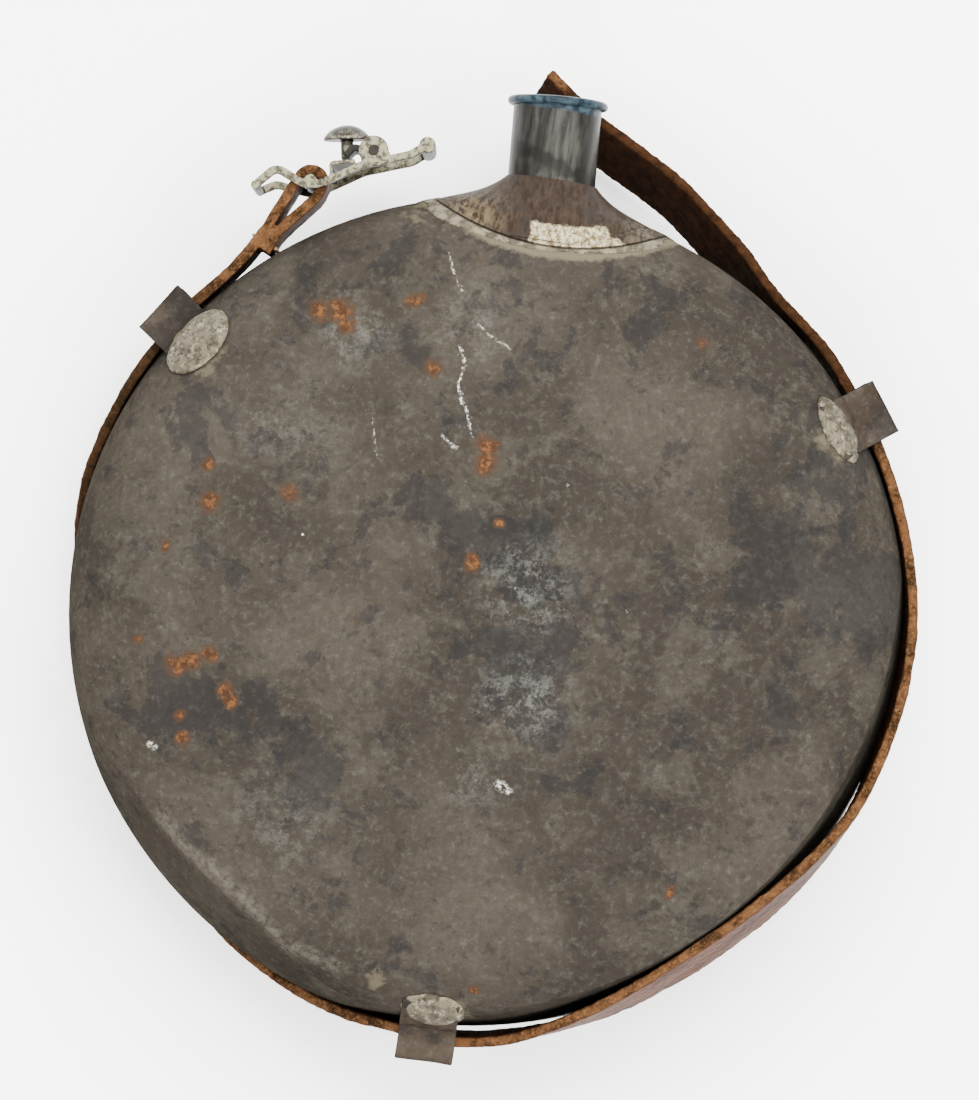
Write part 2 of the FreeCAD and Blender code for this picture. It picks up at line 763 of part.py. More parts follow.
def strap_reach(turn, gap, rise, lean):
    """Where the strap's middle lies from the axis: off the rim by its gap, but never in it."""
    half_width = value("strap_width") / 2
    half_thick = value("strap_thick") / 2
    seat = value("strap_seat")
    tip = math.radians(lean)
    reach = value("body_radius") + gap
    for share in range(-4, 5):
        aside = half_width * share / 4
        level = rise + aside * math.cos(tip) - half_thick * math.sin(tip)
        out = aside * math.sin(tip) + half_thick * math.cos(tip)
        reach = max(reach, rim_reach(turn, level) + seat + out)
    return reach


def curve_through(points, places, first_way):
    """A smooth line through points at given lengths along it, leaving the first one in a set way."""
    line = Part.BSplineCurve()
    last_way = (points[-1] - points[-2]).normalize()
    line.interpolate(Points=points, Parameters=places, InitialTangent=first_way,
                     FinalTangent=last_way, Scale=False)
    return line


def strap_sections():
    """The four corners of the strap's section at each place of its lie."""
    seam = value("seam_height")
    half_width = value("strap_width") / 2
    half_thick = value("strap_thick") / 2
    middles = []
    for turn, gap, rise, lean in STRAP_LIE:
        angle = math.radians(turn)
        far = strap_reach(turn, gap, rise, lean)
        middles.append(Vector(far * math.sin(angle), far * math.cos(angle), seam + rise))
    first_angle = math.radians(STRAP_LIE[0][0])
    first_way = Vector(-math.cos(first_angle), math.sin(first_angle), 0)
    chords = [(b - a).Length for a, b in zip(middles, middles[1:])]
    places = [sum(chords[:index]) for index in range(len(middles))]
    line = curve_through(middles, places, first_way)
    corners = {key: [] for key in ("inner_low", "inner_high", "outer_high", "outer_low")}
    for place, middle, (_, _, _, lean) in zip(places, middles, STRAP_LIE):
        way = line.tangent(place)[0]
        if place == 0:
            way = first_way
        up = Vector(0, 0, 1)
        up = (up - way * up.dot(way)).normalize()
        tip = FreeCAD.Rotation(way, -lean)
        up = tip.multVec(up)
        out = way.cross(up)
        corners["inner_low"].append(middle - up * half_width - out * half_thick)
        corners["inner_high"].append(middle + up * half_width - out * half_thick)
        corners["outer_high"].append(middle + up * half_width + out * half_thick)
        corners["outer_low"].append(middle - up * half_width + out * half_thick)
    return places, corners, first_way


def ribbon_solid():
    """The strap's long run round the rim, with ruled faces between its four corner lines."""
    places, corners, first_way = strap_sections()
    edges = {}
    for key, points in corners.items():
        edges[key] = curve_through(points, places, first_way).toShape()
    names = list(corners)
    faces = []
    for one, two in zip(names, names[1:] + names[:1]):
        faces.append(Part.makeRuledSurface(edges[one], edges[two]))
    for index in (0, -1):
        loop = [corners[key][index] for key in names]
        faces.append(Part.Face(Part.makePolygon(loop + loop[:1])))
    shell = Part.Shell(faces)
    shell.sewShape()
    solid = Part.Solid(shell)
    if solid.Volume < 0:
        solid.reverse()
    return solid


def threads():
    """The stitch threads that close the fold, each a small square loop through both layers."""
    radius = value("thread_radius")
    low = value("strap_thick / 2") + radius
    reach = value("2 * strap_thick + layer_gap") + 2 * radius
    _, cut, waist = fold_steps()[0]
    along = (waist - cut).normalize()
    across = Vector(-along.y, along.x, 0)
    corner = (cut + waist) / 2 - across * low
    shapes = []
    for row in STITCH_ROWS:
        foot = corner + Vector(0, 0, value("seam_height") + row - STITCH_HALF)
        rise = Vector(0, 0, 2 * STITCH_HALF)
        upright = Vector(0, 0, 1)
        loop = Part.makeCylinder(radius, reach, foot, across)
        for leg in (
            Part.makeCylinder(radius, reach, foot + rise, across),
            Part.makeCylinder(radius, rise.z, foot, upright),
            Part.makeCylinder(radius, rise.z, foot + across * reach, upright),
        ):
            loop = loop.fuse(leg)
        for knot in (foot, foot + rise, foot + across * reach, foot + across * reach + rise):
            loop = loop.fuse(Part.makeSphere(radius, knot))
        shapes.append(loop.removeSplitter())
    return shapes


def strap():
    """The leather strap in one length, and the thread that closes its fold."""
    seam = value("seam_height")
    half = value("strap_width") / 2
    fold = extruded(strip_face(fold_steps(), value("strap_thick")), seam - half, seam + half)
    leather = fold.fuse(ribbon_solid()).removeSplitter()
    loops = threads()
    for loop in loops:
        leather = leather.cut(loop)
    thing = doc.addObject("Part::Feature", "strap")
    thing.Shape = leather
    node(thing, "strap")
    thing = doc.addObject("Part::Feature", "fold_stitches")
    thing.Shape = Part.makeCompound(loops)
    node(thing, "fold_stitches")


def clasp():
    """The clasp: a frame with two side rails, its pin, the lever and the lever's thumb pad."""
    seam = value("seam_height")
    inner = value("strap_width / 2 + side_gap")
    outer = inner + value("rail_width")
    thick = value("rail_thick")
    spot = bar_spot()

    def strip(points, wide, low, high):
        face = strip_face(bends(points), wide).translated(spot)
        return extruded(face, seam + low, seam + high)

    def rod(x, y, radius, low, high):
        foot = spot + Vector(x, y, seam + low)
        return Part.makeCylinder(radius, high - low, foot)

    pin = value("pin_across"), value("pin_along")
    near = strip(NEAR_RAIL, thick, inner, outer)
    pieces = [
        strip(FAR_RAIL, thick, -outer, -inner),
        strip(BASE_PLATE, value("plate_thick"), -outer, outer),
        rod(*NEAR_RAIL[0][:2], value("tip_radius"), -outer, outer),
        rod(0, 0, value("bar_radius"), -outer, outer),
        rod(*NEAR_RAIL[-1][:2], value("nose_radius"), -outer, outer),
        rod(*pin, value("ear_radius"), inner, outer),
        rod(*pin, value("ear_radius"), -outer, -inner),
    ]
    frame = near
    for piece in pieces:
        frame = frame.fuse(piece)
    frame = frame.removeSplitter().cut(rod(*pin, value("pin_radius"), -outer, outer))
    thing = doc.addObject("Part::Feature", "clasp_frame")
    thing.Shape = frame
    node(thing, "clasp_frame")

    rivet = add(
        "Part::Cylinder",
        "clasp_pin",
        Radius="pin_radius",
        Height="strap_width + 2 * (side_gap + rail_width + pin_proud)",
        Placement="placement(vector(pin_across - (body_radius + fold_out) * sin(fold_turn);"
        " pin_along + (body_radius + fold_out) * cos(fold_turn);"
        " seam_height - strap_width / 2 - side_gap - rail_width - pin_proud);"
        " rotation(0; 0; 0))",
    )
    node(rivet, "clasp_pin")

    half = value("lever_width") / 2
    stem = strip(LEVER_STEM, value("lever_thick"), -half, half)
    room = inner - value("side_gap") / 2
    hub = rod(*pin, value("hub_radius"), -room, room)
    bore = rod(*pin, value("pin_radius + running_gap"), -outer, outer)
    lever = stem.fuse(hub).removeSplitter().cut(bore)
    thing = doc.addObject("Part::Feature", "clasp_lever")
    thing.Shape = lever
    node(thing, "clasp_lever")
    return lever


def thumb_pad(lever):
    """A domed round pad, turned about its own short axis and seated on the lever."""
    radius = value("pad_radius")
    edge = value("pad_edge")
    rise = value("pad_height")
    dome = rise - edge
    curve = (radius**2 + dome**2) / (2 * dome)
    top = Part.Arc(Vector(radius, 0, edge), Vector(curve * math.sin(math.asin(radius / curve) / 2),
                   0, rise - curve + curve * math.cos(math.asin(radius / curve) / 2)),
                   Vector(0, 0, rise)).toShape()
    side = Part.LineSegment(Vector(radius, 0, 0), Vector(radius, 0, edge)).toShape()
    floor = Part.LineSegment(Vector(0, 0, 0), Vector(radius, 0, 0)).toShape()
    axis = Part.LineSegment(Vector(0, 0, rise), Vector(0, 0, 0)).toShape()
    face = Part.Face(Part.Wire([floor, side, top, axis]))
    shape = face.revolve(Vector(), Vector(0, 0, 1), 360)
    stud = Part.makeCylinder(value("stud_radius"), 3 * value("stud_radius"),
                             Vector(0, 0, -3 * value("stud_radius")))
    shape = shape.fuse(stud)
    turn = FreeCAD.Rotation(Vector(1, 0, 0), -90)
    tilt = FreeCAD.Rotation(Vector(0, 0, 1), PAD_TILT)
    foot = bar_spot() + Vector(*PAD_SEAT, value("seam_height"))
    place = FreeCAD.Placement(foot, tilt.multiply(turn))
    shape = shape.transformed(place.toMatrix()).cut(lever)
    solids = sorted(shape.Solids, key=lambda solid: solid.Volume)
    thing = doc.addObject("Part::Feature", "thumb_pad")
    thing.Shape = solids[-1]
    node(thing, "thumb_pad")


front_outside, back_outside, seam_line = shells()
neck()
skirt(front_outside, back_outside, seam_line)
for loop_side in ("left", "right", "bottom"):
    strip = strap_loop(loop_side)
    for pad_face in ("front", "back"):
        solder_pad(loop_side, pad_face, strip, front_outside, back_outside)
strap()
thumb_pad(clasp())
doc.recompute()

for thing in doc.Objects:
    bad = [state for state in thing.State if state in ("Invalid", "Error")]
    if bad:
        raise RuntimeError(f"{thing.Name} is {bad}")
for thing in NODES:
    shape = thing.Shape
    if shape.isNull() or not shape.isValid() or shape.Volume <= 0:
        raise RuntimeError(f"{thing.Label} has no valid solid")
    print(f"{thing.Label}: {len(shape.Solids)} solid, {shape.Volume:.1f} mm3")
for thing in NODES:
    thing.Shape.exportStep(f"parts/{thing.Label}.step")
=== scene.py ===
"""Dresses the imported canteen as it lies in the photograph: patinated tin, solder and leather.

The camera looks straight down on the canteen, which lies on its back on a pale table. Everything
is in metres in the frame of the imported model: +Y towards the spout, +Z out of the front. Sizes in
millimetres are multiplied by MM. Materials measure their patterns in millimetres.
"""

import json
import logging
import math
from dataclasses import dataclass, field
from enum import Enum
from functools import cached_property

import bmesh
import bpy
import numpy as np
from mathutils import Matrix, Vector, noise
from mathutils.bvhtree import BVHTree

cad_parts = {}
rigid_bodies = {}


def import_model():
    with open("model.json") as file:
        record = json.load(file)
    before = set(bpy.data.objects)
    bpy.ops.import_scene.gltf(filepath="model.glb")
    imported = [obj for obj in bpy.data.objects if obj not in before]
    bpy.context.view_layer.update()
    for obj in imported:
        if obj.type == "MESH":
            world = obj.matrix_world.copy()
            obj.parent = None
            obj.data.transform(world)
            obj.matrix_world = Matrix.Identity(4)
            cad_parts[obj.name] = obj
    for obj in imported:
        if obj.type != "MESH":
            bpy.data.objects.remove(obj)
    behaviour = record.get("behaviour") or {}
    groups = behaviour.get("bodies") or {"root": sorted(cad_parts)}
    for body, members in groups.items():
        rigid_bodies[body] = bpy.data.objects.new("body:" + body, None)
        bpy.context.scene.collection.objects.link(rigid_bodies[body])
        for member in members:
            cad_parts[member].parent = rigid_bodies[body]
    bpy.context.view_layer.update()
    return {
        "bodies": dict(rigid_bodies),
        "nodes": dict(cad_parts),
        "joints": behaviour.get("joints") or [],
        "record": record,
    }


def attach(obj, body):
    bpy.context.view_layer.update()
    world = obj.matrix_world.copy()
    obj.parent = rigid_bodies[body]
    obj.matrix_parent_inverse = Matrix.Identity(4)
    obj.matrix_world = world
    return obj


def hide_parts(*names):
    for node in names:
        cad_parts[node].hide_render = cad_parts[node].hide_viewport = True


LOG = logging.getLogger("canteen")

MM = 0.001
SEAM_HEIGHT = 34 * MM
WELD = 0.001 * MM

Socket = bpy.types.NodeSocket
Amount = float | Socket
Colour = str | Socket
Place = tuple[float, float, float]
Spot = tuple[float, float]


class Body(Enum):
    """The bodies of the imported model."""

    CANTEEN = "canteen"
    CLASP = "clasp"
    LEVER = "lever"


class Slot(Enum):
    """The material slots of the record."""

    TIN = "patinated_tin"
    SOLDER = "grey_solder"
    LEATHER = "worn_leather"
    IRON = "tinned_iron"
    BRIGHT = "polished_iron"


def linear(colour: str) -> tuple[float, float, float, float]:
    """Turn an sRGB hex colour into the linear colour that shaders use.

    Args:
        colour: The colour as #rrggbb.

    Returns:
        Red, green, blue and a full alpha, in linear light.
    """
    shares = [int(colour[start:start + 2], 16) / 255 for start in (1, 3, 5)]
    light = [c / 12.92 if c <= 0.04045 else ((c + 0.055) / 1.055) ** 2.4 for c in shares]
    return (*light, 1.0)


@dataclass(frozen=True)
class Mark:
    """A round region of the front face, in millimetres from the middle.

    Args:
        across: Place along +X.
        along: Place along +Y.
        reach: Radius at which the mark has faded out.
        strength: How strong it is at its middle, from 0 to 1.
    """

    across: float
    along: float
    reach: float
    strength: float = 1.0


@dataclass(frozen=True)
class Scratch:
    """A scratch through a few points, in millimetres.

    Args:
        points: Places along +X and +Y that the scratch passes.
        half_width: Half its width.
        strength: How white it is, from 0 to 1.
    """

    points: tuple[Spot, ...]
    half_width: float = 0.3
    strength: float = 1.0


@dataclass(frozen=True)
class Crust:
    """One size of the crusts that old tin leaves on the sheet.

    Args:
        size: About how large the crusts are, in millimetres.
        edge: Levels of the cloud pattern between which a crust begins.
        share: How much of the sheet's own colour they hide.
    """

    size: float
    edge: Spot
    share: float


CRUSTS = (
    Crust(22, (0.53, 0.55), 0.3),
    Crust(9, (0.55, 0.575), 0.3),
    Crust(3.4, (0.56, 0.6), 0.22),
)
DARK_PATCHES = (
    Mark(6, 12, 24), Mark(9, -6, 20), Mark(14, -24, 16, 0.8), Mark(74, 50, 26, 0.9),
    Mark(88, 17, 30), Mark(66, 22, 22, 0.9), Mark(-19, 24, 12, 0.8), Mark(-56, -28, 20, 0.7),
    Mark(-74, -31, 18, 0.7), Mark(-37, -44, 16, 0.8), Mark(71, -14, 10, 0.8),
    Mark(-70, 40, 22, 0.6), Mark(-48, 64, 12, 0.5),
)
BLOOM_SPOTS = (
    Mark(8, 8, 17), Mark(12, -18, 17), Mark(-40, 60, 12, 0.9), Mark(2, -38, 12, 0.6),
    Mark(-52, 38, 18, 0.5), Mark(-40, -55, 18, 0.5), Mark(-14, 66, 14, 0.6),
)
RUST_SPOTS = (
    Mark(-48.7, 64.3, 5.5), Mark(-43, 65.1, 6), Mark(-41.3, 61.8, 5), Mark(-27.2, 69.3, 3.6),
    Mark(-21, 54.9, 4.2), Mark(-6.2, 38.5, 5.2), Mark(-5.6, 34.5, 5.0), Mark(-0.8, 21.8, 2.6),
    Mark(-5.6, 11.6, 4.0), Mark(-69, 25.6, 3.2), Mark(-67, 16.3, 5.0), Mark(-49, 21.5, 4.6, 0.8),
    Mark(-76, 5.1, 2.6), Mark(-78.5, -17.5, 2.6), Mark(-69.5, -22, 5.0), Mark(-66.2, -20.3, 5.0),
    Mark(-61.7, -18.4, 4.2), Mark(-57.1, -25.9, 4.2), Mark(-55.6, -28, 3.6),
    Mark(-66.6, -33.2, 3.2), Mark(-65.4, -38.9, 3.2), Mark(51.6, -57.1, 2.6),
    Mark(10.3, -85.8, 2.2), Mark(40.7, 69.6, 5.0, 0.6), Mark(-30, -6, 6, 0.4),
)
SOLDER_SMEARS = (
    Mark(-13.5, -87.5, 5.0), Mark(7.5, -92.5, 5.5), Mark(-74, 50, 10, 0.9), Mark(72, 52, 8, 0.9),
    Mark(-29, 89, 7, 0.7),
)
BRIGHT_SPECKS = (
    Mark(14, 32.7, 0.7), Mark(-44.8, 12.1, 0.6), Mark(31.6, 5.8, 0.6), Mark(9, -38.4, 2.6, 0.7),
    Mark(10.6, -39.2, 1.6, 0.7), Mark(-72.7, -40.8, 1.4, 0.9), Mark(-71.3, -41.6, 1.2, 0.8),
)
# The line of painted highlight along the crease of the knocked flat
CREASE_HIGHLIGHT = Scratch(((-68.0, -57.0), (-61.0, -63.5), (-47.2, -72.1), (-34.8, -82.8), (-21.8, -86.2)),
                 2.6, 0.8)
SCRATCHES = (
    Scratch(((-15.4, 60.5), (-13.4, 56.6), (-14.1, 52.0), (-13.2, 48.6), (-10.9, 44.3)), 0.42),
    Scratch(((-21.1, 82.0), (-19.4, 77.5), (-16.9, 73.0)), 0.4, 0.42),
    Scratch(((-12.0, 66.6), (-9.6, 64.6), (-4.0, 61.3)), 0.4, 0.36),
    Scratch(((-10.9, 44.3), (-9.5, 40.0)), 0.4, 0.5),
    Scratch(((-16.2, 39.5), (-12.4, 37.0)), 0.6, 0.42),
    Scratch(((-33.0, 41.0), (-30.5, 33.0)), 0.4, 0.3),
)
# The way that the knocked flat at the lower left faces, and how far out its painted shade begins
KNOCKED_WAY = (-0.593, -0.805, 0.0)
KNOCKED_EDGE = (90.0, 92.5)
SOLDER_BEIGE = "#4c4739"


class Paint:
    """Builds the nodes of one material, with places measured in millimetres.

    Args:
        name: The material's name.
        offset: A shift of its patterns, in millimetres.
    """

    def __init__(self, name: str, offset: Place = (0.0, 0.0, 0.0)):
        self.material = bpy.data.materials.new(name)
        self.material.use_nodes = True
        self.tree = self.material.node_tree
        self.tree.nodes.clear()
        metres = self.add("ShaderNodeTexCoord", output="Object")
        self.place = self.add("ShaderNodeVectorMath", metres, operation="SCALE", Scale=1 / MM)
        self.pattern = self.add("ShaderNodeVectorMath", self.place, offset, operation="ADD")

    @cached_property
    def flat(self) -> Socket:
        """The place laid flat on the table, without its height."""
        return self.add("ShaderNodeVectorMath", self.place, (1.0, 1.0, 0.0), operation="MULTIPLY")

    def add(self, kind: str, *given: object, output: int | str = 0,
            **named: object) -> Socket | None:
        """Add one node with its settings and links.

        Args:
            kind: The node's type.
            *given: Numbers, colours or sockets for its first inputs, in order.
            output: Name or number of the output that is wanted.
            **named: Settings in small letters. Inputs by name with a capital and _ for a space,
                or in_6, in_7 and so on for inputs by number.

        Returns:
            The output, or None for a node that has none.
        """
        made = self.tree.nodes.new(kind)
        inputs = dict(enumerate(given))
        for key, value in named.items():
            if key.startswith("in_"):
                inputs[int(key[3:])] = value
            elif key[0].isupper():
                inputs[key.replace("_", " ")] = value
            else:
                setattr(made, key, value)
        for key, value in inputs.items():
            if isinstance(value, Socket):
                self.tree.links.new(value, made.inputs[key])
            else:
                made.inputs[key].default_value = value
        return made.outputs[output] if made.outputs else None

    def chain(self, operation: str, parts: tuple[Amount, ...]) -> Socket:
        """Work several masks or numbers into one, from the first to the last.

        Args:
            operation: How two of them make one.
            parts: The masks or numbers.

        Returns:
            The result.
        """
        whole = parts[0]
        for part in parts[1:]:
            whole = self.add("ShaderNodeMath", whole, part, operation=operation)
        return whole

    def times(self, *parts: Amount) -> Socket:
        """Return the product of several masks or numbers."""
        return self.chain("MULTIPLY", parts)

    def plus(self, *parts: Amount) -> Socket:
        """Return the sum of several masks or numbers."""
        return self.chain("ADD", parts)

    def most(self, *parts: Amount) -> Socket:
        """Return the largest of several masks or numbers."""
        return self.chain("MAXIMUM", parts)

    def cloud(self, size: float, detail: float = 2.0, rough: float = 0.5, warp: float = 0.0,
              stretch: Place = (1.0, 1.0, 1.0)) -> Socket:
        """Make a cloud pattern.

        Args:
            size: About how large its features are, in millimetres.
            detail: How many finer layers it has.
            rough: How strong the finer layers are.
            warp: How far it is swirled.
            stretch: Its scale along each direction, drawn out where it is below 1.

        Returns:
            The pattern, from 0 to 1.
        """
        place = self.add("ShaderNodeVectorMath", self.pattern, stretch, operation="MULTIPLY")
        return self.add("ShaderNodeTexNoise", Vector=place, Scale=1 / size, Detail=detail,
                        Roughness=rough, Distortion=warp)

    def mask(self, value: Socket, *edges: Spot) -> Socket:
        """Make a mask that is 1 only where a value is past each of some soft edges.

        Args:
            value: The value.
            *edges: For each edge, the level where the mask is 0 and the level where it is 1.

        Returns:
            The mask.
        """
        return self.times(*[self.add("ShaderNodeMapRange", value, *edge,
                                     interpolation_type="SMOOTHSTEP") for edge in edges])

    def lay(self, under: Colour, over: Colour, *shares: Amount) -> Socket:
        """Lay one colour over another.

        Args:
            under: The colour below.
            over: The colour on top.
            *shares: Masks or numbers, whose product says how much the upper one covers.

        Returns:
            The colour.
        """
        colours = [linear(c) if isinstance(c, str) else c for c in (under, over)]
        return self.add("ShaderNodeMix", data_type="RGBA", output=2, in_0=self.times(*shares),
                        in_6=colours[0], in_7=colours[1])

    def stray(self, size: float, reach: float, detail: float, rough: float = 0.5) -> Socket:
        """Make a small wandering shift of places.

        Args:
            size: About how far apart its turns are, in millimetres.
            reach: How far it wanders from one side to the other, in millimetres.
            detail: How many finer layers it has.
            rough: How strong the finer layers are.

        Returns:
            The shift.
        """
        wander = self.add("ShaderNodeTexNoise", Vector=self.pattern, Scale=1 / size, Detail=detail,
                          Roughness=rough, output=1)
        wander = self.add("ShaderNodeVectorMath", wander, (0.5, 0.5, 0.5), operation="SUBTRACT")
        return self.add("ShaderNodeVectorMath", wander, (reach, reach, 0.0), operation="MULTIPLY")

    def moved(self, place: Socket, shift: Socket, share: float | None = None) -> Socket:
        """Move places by a shift, so that what is drawn there gets a ragged outline.

        Args:
            place: The places.
            shift: The shift.
            share: How much of the shift is taken, or None for all of it.

        Returns:
            The places after it.
        """
        if share is not None:
            shift = self.add("ShaderNodeVectorMath", shift, (share, share, 0.0),
                             operation="MULTIPLY")
        return self.add("ShaderNodeVectorMath", place, shift, operation="ADD")

    def marks(self, marks: tuple[Mark, ...], place: Socket) -> Socket:
        """Make a mask of several marks that fade from their middles to their reach.

        Args:
            marks: The marks.
            place: The places that they are drawn on.

        Returns:
            The mask.
        """
        masks = []
        for mark in marks:
            far = self.add("ShaderNodeVectorMath", place, (mark.across, mark.along, 0.0),
                           operation="DISTANCE", output="Value")
            masks.append(self.add("ShaderNodeMapRange", far, mark.reach, 0.0, To_Max=mark.strength,
                                  interpolation_type="SMOOTHSTEP"))
        return self.most(*masks)

    def scratch(self, scratch: Scratch, place: Socket) -> Socket:
        """Make a mask that is strongest on a scratch's line and fades across its width.

        Args:
            scratch: The scratch.
            place: The places that it is drawn on.

        Returns:
            The mask.
        """
        masks = []
        for start, end in zip(scratch.points, scratch.points[1:]):
            first = Vector((*start, 0.0))
            run = Vector((*end, 0.0)) - first
            away = self.add("ShaderNodeVectorMath", place, first, operation="SUBTRACT")
            share = self.add("ShaderNodeVectorMath", away, run / run.length_squared,
                             operation="DOT_PRODUCT", output="Value")
            share = self.add("ShaderNodeClamp", share)
            near = self.add("ShaderNodeVectorMath", run, operation="SCALE", Scale=share)
            far = self.add("ShaderNodeVectorMath", away, near, operation="DISTANCE",
                           output="Value")
            masks.append(self.add("ShaderNodeMapRange", far, scratch.half_width, 0.0,
                                  To_Max=scratch.strength))
        return self.most(*masks)

    def relief(self, *layers: tuple[Socket, float]) -> Socket:
        """Raise the surface by several layers, the one below first.

        Args:
            *layers: For each layer, its height from 0 to 1 and its depth in millimetres.

        Returns:
            The surface's direction.
        """
        below = {}
        for height, depth in layers:
            below["Normal"] = self.add("ShaderNodeBump", Height=height, Distance=depth * MM,
                                       Strength=1.0, **below)
        return below["Normal"]

    def finish(self, **inputs: object) -> bpy.types.Material:
        """Close the material with a surface shader.

        Args:
            **inputs: Inputs of the shader, by name.

        Returns:
            The material.
        """
        self.add("ShaderNodeOutputMaterial", self.add("ShaderNodeBsdfPrincipled", **inputs))
        return self.material


@dataclass(frozen=True)
class CollarLip:
    """The arc on the front face that the collar's lip follows.

    Args:
        middle: The arc's middle, in millimetres.
        radius: Its radius.
        soldered: Where the solder beyond the lip has ended and where it starts to thin.
        scraped: Where the scraped patch before the lip starts.
    """

    middle: Spot = (1.2, 140.9)
    radius: float = 53.9
    soldered: Spot = (59.4, 58.2)
    scraped: Spot = (49.9, 50.6)

    def reach(self, paint: Paint) -> Socket:
        """Return how far each place lies from the arc's middle."""
        return paint.add("ShaderNodeVectorMath", paint.flat, (*self.middle, 0.0),
                         operation="DISTANCE", output="Value")


LIP = CollarLip()


@dataclass(frozen=True)
class PatinatedTin:
    """Tinned sheet iron, dipped and then worn: warm grey crusts of old tin over darker metal.

    The eye sees cold dark patches where the tin has gone, pale oxide in the worst of them, small
    crumbs of rust, and hardly any shine.

    Args:
        name: The material's name.
        marked: Whether the marks seen on the front face are on it.
        low: The darker of the two warm greys that the sheet drifts between.
        high: The lighter of the two.
        crust: The olive grey of the crusts of old tin.
        pit: The dark of the fine pits.
        patch: The cold dark of the patches where the tin has gone.
        bloom: The pale oxide that speckles the worst patches.
        stain: The thin brown veil round the rust.
        rust: The darker rust.
        bright_rust: The brighter rust.
        scratch: Bare metal in the scratches.
        knocked: The dark of the knocked flat.
        crease: The rubbed metal on the flat's crease.
        offset: A shift that gives each sheet a pattern of its own.
    """

    name: str
    marked: bool = False
    low: str = "#211e1a"
    high: str = "#2b2722"
    crust: str = "#322f29"
    pit: str = "#110e0c"
    patch: str = "#131416"
    bloom: str = "#5c5c57"
    stain: str = "#2e2219"
    rust: str = "#2b1c12"
    bright_rust: str = "#50341f"
    scratch: str = "#c9c6bb"
    # knocked: The painted shade of the knocked flat.
    knocked: str = "#161411"
    # crease: The painted highlight along the flat's crease.
    crease: str = "#5a564c"
    offset: Place = (0.0, 0.0, 0.0)

    def material(self) -> bpy.types.Material:
        """Mix the whole finish.

        Returns:
            The material.
        """
        paint = Paint(self.name, self.offset)
        mottle = paint.cloud(1.7, detail=8, rough=0.8)
        wobble = paint.stray(9, reach=12.0, detail=5)
        loose = paint.moved(paint.flat, wobble)
        colour = self.crusted(paint, mottle)
        colour, patch = self.patched(paint, colour, loose)
        colour, pale = self.bloomed(paint, colour, loose)
        colour, rust = self.rusted(paint, colour, wobble)
        if self.marked:
            colour = self.scratched(paint, colour, wobble)
            colour = self.smeared(paint, colour, loose)
            colour = self.paint_flat_shade_and_crease_highlight(paint, colour, wobble, mottle)
            colour = self.soldered(paint, colour)
        rough = paint.add("ShaderNodeMath", paint.most(rust, pale), 0.2, 0.5,
                          operation="MULTIPLY_ADD")
        fine = paint.plus(mottle, paint.times(rust, 0.8))
        fine = paint.add("ShaderNodeMath", fine, paint.times(patch, 0.4), operation="SUBTRACT")
        normal = paint.relief((paint.cloud(36, detail=2, rough=0.45), 0.8),
                              (paint.cloud(7, detail=3, rough=0.6), 0.05), (fine, 0.07))
        return paint.finish(Base_Color=colour, Roughness=rough, Normal=normal,
                            Specular_IOR_Level=0.0)

    def crusted(self, paint: Paint, mottle: Socket) -> Socket:
        """Lay the crusts of old tin, crisp and ragged, and a fine mottle over the drifting grey.

        Args:
            paint: The material that is painted.
            mottle: The fine mottle.

        Returns:
            The colour.
        """
        drift = paint.mask(paint.cloud(42, detail=3, rough=0.55), (0.36, 0.64))
        colour = paint.lay(self.low, self.high, drift)
        for crust in CRUSTS:
            ragged = paint.cloud(crust.size, detail=11, rough=0.72, warp=0.5)
            colour = paint.lay(colour, self.crust, paint.mask(ragged, crust.edge), crust.share)
        colour = paint.lay(colour, self.bloom, paint.mask(mottle, (0.5, 0.7)), 0.16)
        return paint.lay(colour, self.pit, paint.mask(mottle, (0.5, 0.34)), 0.22)

    def patched(self, paint: Paint, colour: Socket, loose: Socket) -> tuple[Socket, Socket]:
        """Lay the dark patches where the tin has gone.

        Args:
            paint: The material that is painted.
            colour: The colour so far.
            loose: The places, with ragged outlines.

        Returns:
            The colour and the mask of the large patches.
        """
        if self.marked:
            bias = paint.add("ShaderNodeMath", paint.marks(DARK_PATCHES, loose), 0.75, 0.16,
                             operation="MULTIPLY_ADD")
        else:
            bias = paint.cloud(30, detail=1, rough=0.5)
        worn = paint.plus(paint.cloud(13, detail=10, rough=0.7, warp=0.3), paint.times(bias, 0.26))
        patch = paint.mask(worn, (0.6, 0.65))
        colour = paint.lay(colour, self.patch, patch, 0.45)
        small = paint.mask(paint.cloud(5, detail=9, rough=0.74, warp=0.2), (0.56, 0.62))
        return paint.lay(colour, self.patch, small, 0.4), patch

    def bloomed(self, paint: Paint, colour: Socket, loose: Socket) -> tuple[Socket, Socket]:
        """Speckle the worst patches with pale oxide.

        Args:
            paint: The material that is painted.
            colour: The colour so far.
            loose: The places, with ragged outlines.

        Returns:
            The colour and the mask of the oxide.
        """
        blotch = paint.cloud(4, detail=8, rough=0.78)
        speck = paint.times(paint.mask(paint.cloud(0.9, detail=8, rough=0.85), (0.48, 0.6)),
                            paint.mask(blotch, (0.44, 0.56)))
        speck = paint.most(speck, paint.times(paint.mask(blotch, (0.5, 0.62)), 0.55))
        if self.marked:
            worst = paint.marks(BLOOM_SPOTS, loose)
        else:
            worst = paint.mask(paint.cloud(22, detail=2), (0.5, 0.75))
        pale = paint.times(speck, worst)
        return paint.lay(colour, self.bloom, pale, 0.55), pale

